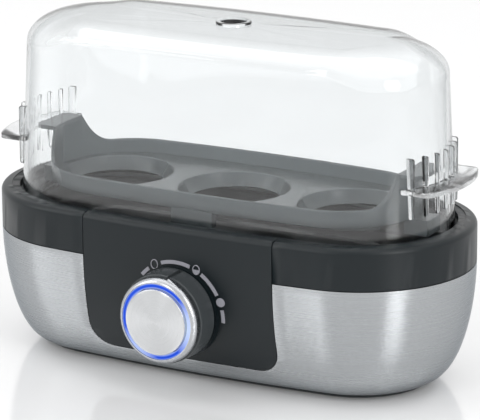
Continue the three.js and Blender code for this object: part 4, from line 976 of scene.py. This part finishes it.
def control_panel():
    """The panel that fills the window, with the pedestal that carries the knob."""
    skin = wall_curve(PANEL["bottom"] - PANEL["wall"], SEAM)
    under = COLLAR_TOP - PANEL["lip"]
    profile = [
        *reversed(rim_profile()),
        *skin,
        *reversed(offset(skin, PANEL["wall"])),
        (PANEL["wall"], under),
        (COLLAR["lip_inset"], under),
    ]
    piece = ring("panel", BODY, profile)
    combine(piece, window("panel outline", GAP), "INTERSECT")
    soften(piece, PANEL["edge"])
    at_knob = (0, KNOB["z"], "Y")
    pedestal = PEDESTAL["radius"], PEDESTAL_FRONT, PEDESTAL_BACK
    join(piece, round_bar("pedestal", *pedestal, *at_knob, KNOB_SIDES))
    front, back = PEDESTAL_BACK - PEDESTAL["core_depth"], PEDESTAL_BACK + OVERRUN
    inner, outer = PEDESTAL["core_inner"], PEDESTAL["core_outer"]
    core = [(inner, front), (outer, front), (outer, back), (inner, back)]
    cut(piece, turned_forward("core", core, BORE_SIDES))
    cut(piece, round_bar("bore", GUIDE_BORE, PEDESTAL_FRONT - OVERRUN, back, *at_knob, BORE_SIDES))
    smooth(piece)
    finish_piece(piece, BLACK, "base", "black_plastic", "control_panel")


def symbol_centre(name):
    turn = math.radians(MARK_SYMBOLS[name])
    radius = MARK["radius"] + MARK["ring"]
    return MARK_CENTRE[0] + radius * math.cos(turn), MARK_CENTRE[1] + radius * math.sin(turn)


def ellipse(x, z, radius, start=0, end=360 - 360 / SYMBOL_SIDES):
    """An upright ellipse: a circle narrowed to the symbols' share of its width."""
    return [(x + (a - x) * SYMBOL_SHARE, b) for a, b in arc(x, z, radius, start, end, SYMBOL_SIDES - 1)]


def scale_marks():
    """The cooking scale: bars that sweep clockwise past an empty, a half full and a full circle."""
    half = MARK["width"] / 2
    front, back = -BODY["half_width"] - OVERRUN, -BODY["half_width"] + 2 * OVERRUN
    shapes = []
    for start, end in MARK_BARS:
        outer = arc(*MARK_CENTRE, MARK["radius"] + half, start, end, BAR_STEPS)
        inner = arc(*MARK_CENTRE, MARK["radius"] - half, end, start, BAR_STEPS)
        shapes.append(prism("bar", outer + inner, front, back, "Y"))
    for name in ("empty", "half"):
        centre = symbol_centre(name)
        circle = prism(name, ellipse(*centre, MARK["symbol"]), front, back, "Y")
        inner = ellipse(*centre, MARK["symbol"] - MARK["ring"])
        cut(circle, prism("inside", inner, front - OVERRUN, back + OVERRUN, "Y"))
        shapes.append(circle)
    filled = ellipse(*symbol_centre("half"), MARK["symbol"] - MARK["ring"] / 2, 180, 360)
    join(shapes[-1], prism("filled half", filled, front, back, "Y"))
    shapes.append(round_bar("full", MARK["dot"], front, back, *symbol_centre("full"), "Y", SYMBOL_SIDES))
    piece = shapes[0]
    for shape in shapes[1:]:
        join(piece, shape)
    reach = MARK["radius"] + 2 * MARK["symbol"] + MARK["width"]
    skin = wall_curve(KNOB["z"] - reach, KNOB["z"] + reach, MARK_LAYER_STEPS)
    raised = offset(skin, -MARK["height"])
    layer = ring("mark layer", BODY, [*raised, *reversed(offset(skin, MARK["height"]))])
    combine(piece, layer, "INTERSECT")
    piece.name = "scale_marks"
    smooth(piece)
    finish_piece(piece, PRINT, "base", "black_plastic")


def heating_dish():
    wall, floor, lean = DISH["wall"], DISH["floor"], DISH["lean"]
    inset = DISH["wall_inset"]
    top = [
        (DISH["rim"], DISH_TOP),
        *arc(inset - wall, DISH_TOP - wall, wall, 90, lean, EDGE_STEPS),
        (inset + wall, floor + 2 * wall),
        *arc(inset + 3 * wall, floor + 2 * wall, 2 * wall, 180 + lean, 270, EDGE_STEPS),
        (DISH["well_inset"], floor),
        (DISH["well_inset"] + DISH["well_depth"], floor - DISH["well_depth"]),
    ]
    piece = ring("dish", BODY, [*reversed(offset(top, -wall)), *top], closed=False)
    stud_top = floor - DISH["well_depth"] - wall / 2
    for side in (-1, 1):
        x = STUD["x"] + side * STUD["spread"]
        join(piece, round_bar("stud", STUD["radius"], stud_top - STUD["length"], stud_top, x, 0))
    smooth(piece)
    finish_piece(piece, COATING, "base", "dish_coating", "heating_dish")


# Rotary knob


def knob_y(depth):
    return KNOB["base"] - depth


def round_corner(radius, depth, size, start, end):
    """A rounded corner of a turned profile about (radius, depth), as (radius, y)."""
    return [(r, knob_y(d)) for r, d in arc(radius, depth, size, start, end, EDGE_STEPS)]


def turn_about_knob(piece, angle):
    """Turns something drawn about the origin in X and Z by degrees, and moves it to the knob's axis."""
    height = Vector((0, 0, KNOB["z"] * MM))
    turn = Matrix.Rotation(-math.radians(angle), 4, "Y")
    piece.data.transform(Matrix.Translation(height) @ turn)


def knob_drum():
    """A hollow drum with a bore for the shaft, a hub behind its face and a slot as a pointer."""
    wall, depth, edge = KNOB["wall"], KNOB["drum_depth"], KNOB["drum_edge"]
    front = KNOB["radius"] - KNOB["taper"]
    floor = depth - wall
    bore = SHAFT["radius"] + GAP
    profile = [
        (KNOB["radius"] - wall, knob_y(0)),
        (KNOB["radius"] - edge / 2, knob_y(0)),
        (KNOB["radius"], knob_y(edge / 2)),
        *round_corner(front - edge, depth - edge, edge, 0, 90),
        (bore, knob_y(depth)),
        (bore, knob_y(floor - wall)),
        (SHAFT["hub"], knob_y(floor - wall)),
        (SHAFT["hub"], knob_y(floor)),
        (KNOB["radius"] - wall - KNOB["taper"], knob_y(floor)),
    ]
    piece = turned_forward("drum", profile)
    radius, half = KNOB["radius"] - POINTER["depth"], POINTER["width"] / 2
    outside = radius + OVERRUN
    wedge = [(radius, -half), (outside, -2 * half), (outside, 2 * half), (radius, half)]
    groove = prism("groove", wedge, knob_y(KNOB["face_depth"]), knob_y(GAP), "Y")
    turn_about_knob(groove, POINTER["angle"])
    cut(piece, groove)
    smooth(piece)
    finish_piece(piece, BLACK_DRUM, "knob", "black_plastic", "knob_drum")


def knob_rim():
    """A chrome rim that slopes back to its outer edge, with a nose beside the drum's slot."""
    back, front, start = KNOB["drum_depth"] + GAP, KNOB["light_depth"], KNOB["rim_depth"]
    outer, inner, edge = KNOB["rim_radius"], KNOB["rim_inner"], KNOB["edge"]
    profile = [
        (inner, knob_y(back)),
        (outer - edge, knob_y(back)),
        *round_corner(outer - edge, back + edge, edge, -90, 0)[1:],
        (outer, knob_y(start)),
    ]
    for share, rise in RIM_SLOPE_SHARES:
        profile.append((outer - (outer - inner) * share, knob_y(start + (front - start) * rise)))
    profile.append((inner, knob_y(front)))
    piece = turned_forward("rim", profile)
    tapered = []
    for share in NOSE_SHARES:
        angle = math.radians(NOSE["start"] + (NOSE["end"] - NOSE["start"]) * share)
        radius = outer + NOSE["proud"] * share ** NOSE["power"] - NOSE["sunk"] * (1 - share)
        tapered.append((radius * math.cos(angle), radius * math.sin(angle)))
    root = arc(0, 0, (outer + inner) / 2, NOSE["end"], NOSE["start"], RIM_STEPS)
    nose = prism("nose", tapered + root, knob_y(NOSE["back"]), knob_y(NOSE["front"]), "Y")
    nose.data.transform(Matrix.Translation((0, 0, KNOB["z"] * MM)))
    join(piece, soften(nose, NOSE["edge"]))
    smooth(piece, RIM_SHARP_PAST)
    finish_piece(piece, CHROME, "knob", "rim_chrome", "knob_rim")


def light_ring():
    back, front = KNOB["drum_depth"] + GAP, KNOB["light_depth"]
    inner, outer = KNOB["light_inner"], KNOB["rim_inner"] - GAP / 3
    shoulder = front - KNOB["light_crown"]
    profile = [
        (inner, knob_y(back)),
        (outer, knob_y(back)),
        (outer, knob_y(shoulder)),
        ((inner + outer) / 2, knob_y(front)),
        (inner, knob_y(shoulder)),
    ]
    piece = turned_forward("light", profile)
    smooth(piece, LIGHT_SHARP_PAST)
    finish_piece(piece, BLUE_LIGHT, "knob", "light_blue", "light_ring")


def knob_cap():
    """A slightly domed cap with a rounded edge."""
    back, front = KNOB["drum_depth"] + GAP, KNOB["face_depth"]
    radius, edge = KNOB["cap_radius"], KNOB["edge"]
    profile = [
        (0, knob_y(back)),
        (radius, knob_y(back)),
        *round_corner(radius - edge, front - edge, edge, 0, 90)[:-1],
    ]
    for share in CAP_DOME_SHARES:
        profile.append((radius * share, knob_y(front + edge * (1 - share**2))))
    piece = turned_forward("cap", profile)
    smooth(piece)
    finish_piece(piece, CAP, "knob", "cap_aluminium", "knob_cap")


# Lid


def smooth_share(share):
    return share * share * (3 - 2 * share)


def lid_row(inset, drop, share):
    """A row of the lid's shell: at share 0 the top of the wall, at share 1 the edge of the crown."""
    row = []
    for px, py, nx, ny in oval_points(BODY, LID["inset"] + inset):
        end = smooth_share(min(abs(nx) / LID["end_share"], 1))
        reach = LID["side_round"] + (LID["end_round"] - LID["side_round"]) * end
        fall = LID["side_drop"] + (LID["end_drop"] - LID["side_drop"]) * end
        reach -= inset * LID["hollow_round_share"]
        fall -= inset * LID["hollow_drop_share"]
        away = reach * (1 - math.cos(share * math.pi / 2))
        x = px * (1 - LID["end_draft"] / BODY["half_length"]) - nx * away
        y = py * (1 - LID["side_draft"] / (BODY["half_width"] - LID["inset"])) - ny * away
        row.append((x, y, LID_TOP - drop - fall * (1 - math.sin(share * math.pi / 2))))
    return row


def lid_shell(name, inset, drop, foot):
    """The lid's outer form, or drawn in by inset and lowered by drop the form of its hollow."""
    rows = [level(BODY, LID["inset"] + inset, foot)]
    rows += [lid_row(inset, drop, i / CROWN_STEPS) for i in range(CROWN_STEPS + 1)]
    crown = rows[-1]
    for share in CROWN_SHARES:
        rise = LID["dome"] * smooth_share(share)
        rows.append([(x * (1 - share), y * (1 - share), z + rise) for x, y, z in crown])
    return loft(name, rows, False)


def grip_flange(side):
    """A finger grip: a plate with straight sides and a round end. The hollow trims its root."""
    reach = oval_centres(BODY)[0]
    half, corner, outer = GRIP["half_width"], GRIP["corner"], BODY["end_radius"]
    cy = half - corner
    cx = math.sqrt((outer - corner) ** 2 - cy**2)
    turn = math.degrees(math.atan2(cy, cx))
    outline = [
        (GRIP["root"], -half),
        *arc(cx, -cy, corner, -90, -turn, GRIP_CORNER_STEPS),
        *arc(0, 0, outer, -turn, turn, GRIP_END_STEPS)[1:-1],
        *arc(cx, cy, corner, turn, 90, GRIP_CORNER_STEPS),
        (GRIP["root"], half),
    ]
    outline = [(side * (x + reach), side * y) for x, y in outline]
    return soften(prism("flange", outline, GRIP["z"], GRIP["z"] + GRIP["thickness"]), GRIP["edge"])


def grip_ribs():
    """The finger ribs of both ends, repeated by Geometry Nodes from one rib that stands at the origin."""
    tip = RIB["corner"]
    outline = [
        (-RIB["depth"], RIB["bottom"]),
        *arc(-tip, RIB["bottom"] + tip, tip, 270, 360, RIB_STEPS),
        *arc(-tip, RIB["top"] - tip, tip, 0, 90, RIB_STEPS),
        (-RIB["depth"], RIB["top"]),
    ]
    half = RIB["thickness"] / 2
    rib = prism("ribs", outline, -half, half, "Y")
    rib.data.transform(Matrix.Translation((0, -BODY_Y, 0)))
    soften(rib, RIB["edge"])
    reach = oval_centres(BODY)[0]
    values = {
        "Count": RIB["count"],
        "Width": RIB["width"] * MM,
        "Radius": RIB["radius"] * MM,
        "Centre": place(reach, 0, 0),
        "Far Centre": place(-reach, 0, 0),
        "Finish": SATIN_CLEAR,
    }
    return run_tree(rib, rib_pattern_tree(), values)


def lid():
    """One clear moulding. Its flanges and ribs are satin, so that they show beside the clear wall."""
    under, ring_top = LID_TOP - LID["wall"], LID_TOP + LID["dome"] + STEAM_HOLE["ring_height"]
    foot = LEDGE_TOP + GAP
    piece = lid_shell("lid_shell", 0, 0, foot)
    wear_finish(piece, CLEAR)
    join(piece, grip_ribs())
    for side in (-1, 1):
        flange = grip_flange(side)
        wear_finish(flange, SATIN_CLEAR)
        join(piece, flange)
    hole = STEAM_HOLE["radius"]
    radius = hole + STEAM_HOLE["ring_width"]
    edge = STEAM_HOLE["ring_height"] / 2
    rounded = arc(radius - edge, ring_top - edge, edge, 0, 90, EDGE_STEPS)
    boss = [(0, under), (radius, under), *rounded, (0, ring_top)]
    join(piece, turned("steam ring", boss, BORE_SIDES))
    cut(piece, lid_shell("hollow", LID["wall"], LID["wall"], foot - OVERRUN))
    bar = hole, LID_TOP - OVERRUN, ring_top + OVERRUN
    cut(piece, round_bar("steam hole", *bar, 0, 0, sides=BORE_SIDES))
    smooth(piece)
    finish_piece(piece, CLEAR, "lid", "clear_plastic", "lid")


# Egg tray


def rim_height(x, y):
    """The height of the tray's rim, which swoops up to a handle at each end."""
    share = min(max((abs(y) - HANDLE["half_width"]) / HANDLE["swoop"], 0), 1)
    at_end = abs(x) > TRAY["half_length"] - TRAY["end_radius"]
    rise = (HANDLE["top"] - TRAY_FORM["rim"]) * (1 - share) ** 2
    return TRAY_FORM["rim"] + (rise if at_end else 0)


def tray_pan():
    under, wall = TRAY_FORM["under"], TRAY_FORM["wall"]
    floor = under + TRAY_FORM["floor"]

    def row(inset, height):
        return [(x, y, height(x, y)) for x, y, _, _ in oval_points(TRAY, inset, TRAY_END_STEPS)]

    rows = []
    for inset, z in reversed(arc(wall, under + wall, wall, 180, 270, EDGE_STEPS)):
        rows.append(row(inset, lambda x, y, z=z: z))
    for inset, fall in arc(wall / 2, 0, wall / 2, 180, 0, RIM_STEPS):
        rows.append(row(inset, lambda x, y, fall=fall: rim_height(x, y) - wall / 2 + fall))
    rows.append(row(wall, lambda x, y: floor))
    return loft("tray", rows, False)


def handle_tab(side):
    inner = TRAY["half_length"] - TRAY_FORM["wall"] - HANDLE["thickness"]
    outer = TRAY["half_length"] + HANDLE["tab"] - TRAY_FORM["wall"]
    corner, half = HANDLE["tab"] / 2, HANDLE["half_width"]
    outline = [
        (inner, -half),
        *arc(outer - corner, corner - half, corner, 270, 360, TAB_STEPS),
        *arc(outer - corner, half - corner, corner, 0, 90, TAB_STEPS),
        (inner, half),
    ]
    outline = [(side * x, side * y) for x, y in outline]
    return prism("tab", outline, HANDLE["top"] - HANDLE["thickness"], HANDLE["top"])


def tray_lugs(side):
    """The lug under a side of the tray and the one under an end, which stand on the ledge."""
    low, high = LEDGE_TOP + GAP, TRAY_FORM["under"] + TRAY_FORM["floor"] / 2
    near = (-LUG["half_width"], TRAY["half_width"] - LUG["root"])
    far = (LUG["half_width"], TRAY["half_width"] + LUG["proud"])
    end_near = (TRAY["half_length"] - LUG["root"], -LUG["end_half_width"])
    end_far = (BODY["half_length"] - LEDGE["inset"] + LUG["end_proud"], LUG["end_half_width"])
    for a, b in ((near, far), (end_near, end_far)):
        (x1, x2), (y1, y2) = sorted((side * a[0], side * b[0])), sorted((side * a[1], side * b[1]))
        yield prism("lug", [(x1, y1), (x2, y1), (x2, y2), (x1, y2)], low, high)


def egg_tray():
    """One smoked moulding: the pan, its handles and lugs, and three seats with a hole each."""
    under, edge = TRAY_FORM["under"], TRAY_FORM["under"] + TRAY_FORM["floor"]
    low, high = under - SEAT["drop"], edge - SEAT["wall"] / 2
    radius, wall = SEAT["radius"], SEAT["wall"]
    cup = [(0, low), (radius - wall, low), (radius + wall, high), (0, high)]
    hole = [
        (0, low - OVERRUN),
        (radius - 2 * wall, low - OVERRUN),
        (radius - 2 * wall, low),
        *arc(radius + wall / 2, high, wall / 2, 180, 90, EDGE_STEPS),
        (radius + wall / 2, edge + OVERRUN),
        (0, edge + OVERRUN),
    ]
    piece = tray_pan()
    for side in (-1, 1):
        join(piece, handle_tab(side))
        for lug in tray_lugs(side):
            join(piece, lug)
    for seat in (-1, 0, 1):
        join(piece, turned("seat", cup, SEAT_SIDES, seat * SEAT["pitch"]))
    for seat in (-1, 0, 1):
        cut(piece, turned("hole", hole, SEAT_SIDES, seat * SEAT["pitch"]))
    smooth(piece)
    finish_piece(piece, SMOKED, "tray", "smoked_plastic", "egg_tray")


# The pieces, and the finishes of the CAD nodes that are shown as they are

steel_skirt()
collar()
ledge_ring()
control_panel()
scale_marks()
heating_dish()
knob_drum()
knob_rim()
light_ring()
knob_cap()
lid()
egg_tray()

NODE_FINISHES = {
    "base_plate": BLACK,
    "cord_grommet": RUBBER,
    "dish_seal": SILICONE,
    "thermostat": IVORY,
    "thermal_fuse": IVORY,
    "terminal_block": IVORY,
    "control_board": BOARD_GREEN,
    "rotary_switch": PART_BLACK,
    "buzzer": PART_BLACK,
    "relay": PART_BLUE,
    "capacitor": PART_BLUE,
    "led_left": FROSTED,
    "led_right": FROSTED,
    "light_guide": FROSTED,
    "element_pin_left": BRASS,
    "element_pin_right": BRASS,
    "wire_element_left": WIRE_RED,
    "wire_element_right": WIRE_BLUE,
    "wire_board": WIRE_RED,
}
for name, node in frame["nodes"].items():
    if not node.hide_render:
        wear_finish(node, RUBBER if name.startswith("foot_") else NODE_FINISHES.get(name, ZINC))

# Studio


def facing(spot, target):
    """The turn that points a camera or a light from its place at a target."""
    return (Vector(target) - Vector(spot)).to_track_quat("-Z", "Y")


def camera():
    data = bpy.data.cameras.new("camera")
    data.lens = CAMERA["lens"]
    made = new_object("camera", data)
    spot, target = place(*CAMERA["spot"]), place(*CAMERA["target"])
    turn = facing(spot, target).to_matrix() @ Matrix.Rotation(CAMERA["roll"], 3, "Z")
    made.matrix_world = Matrix.Translation(spot) @ turn.to_4x4()
    bpy.context.scene.camera = made


def softbox(name, spot, target, size, power):
    data = bpy.data.lights.new(name, "AREA")
    data.shape = "RECTANGLE"
    data.size, data.size_y = size
    data.energy = power
    made = new_object(name, data)
    made.location = spot
    made.rotation_mode = "QUATERNION"
    made.rotation_quaternion = facing(spot, target)


def seen_rays(tree):
    """1 on the rays that show the surroundings: from the camera, off a gloss or through glass."""
    path = add(tree, "ShaderNodeLightPath").outputs
    straight = maths(tree, "MAXIMUM", path["Is Camera Ray"], path["Is Transmission Ray"])
    return maths(tree, "MAXIMUM", straight, path["Is Glossy Ray"])


def floor():
    """A pale glossy floor, with a faint glow that shows to the camera, in glosses and through glass."""
    mesh = bpy.data.meshes.new("floor")
    half = FLOOR["size"] / 2
    corners = ((-1, -1), (1, -1), (1, 1), (-1, 1))
    mesh.from_pydata([(half * x, half * y, 0) for x, y in corners], [], [(0, 1, 2, 3)])
    made = new_object("floor", mesh)
    material, tree, shader = new_finish("pale glossy floor")
    grain = grouped(tree, GRAIN, scale=60.0, roughness=FLOOR["roughness"], variation=0.03, depth=0.0)
    values = {
        "Base Color": opaque(FLOOR["color"]),
        "Roughness": grain["Roughness"],
        "IOR": FLOOR["ior"],
        "Emission Color": WHITE,
        "Emission Strength": maths(tree, "MULTIPLY", seen_rays(tree), FLOOR["glow"]),
    }
    feed(tree, shader, values)
    mesh.materials.append(material)
    made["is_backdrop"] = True


def world():
    """Plain soft light all round, which shows as white wherever it is seen."""
    made = bpy.data.worlds.new("studio")
    bpy.context.scene.world = made
    made.use_nodes = True
    tree = made.node_tree
    light = feed(tree, tree.nodes["Background"], {"Color": WHITE, "Strength": WORLD_LEVEL})
    white = add(tree, "ShaderNodeBackground", {"Color": WHITE, "Strength": 1.0})
    sides = {"Fac": seen_rays(tree), 1: light.outputs[0], 2: white.outputs[0]}
    mix = add(tree, "ShaderNodeMixShader", sides)
    feed(tree, tree.nodes["World Output"], {"Surface": mix.outputs[0]})


camera()
world()
floor()
for name, settings in SOFTBOXES.items():
    softbox(name, *settings)

bpy.context.scene.view_settings.view_transform = "Standard"

visual_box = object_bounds()
boxes = {"cad": cad_box, "visual": visual_box}
{name: [list(corner) for corner in box] for name, box in boxes.items()}
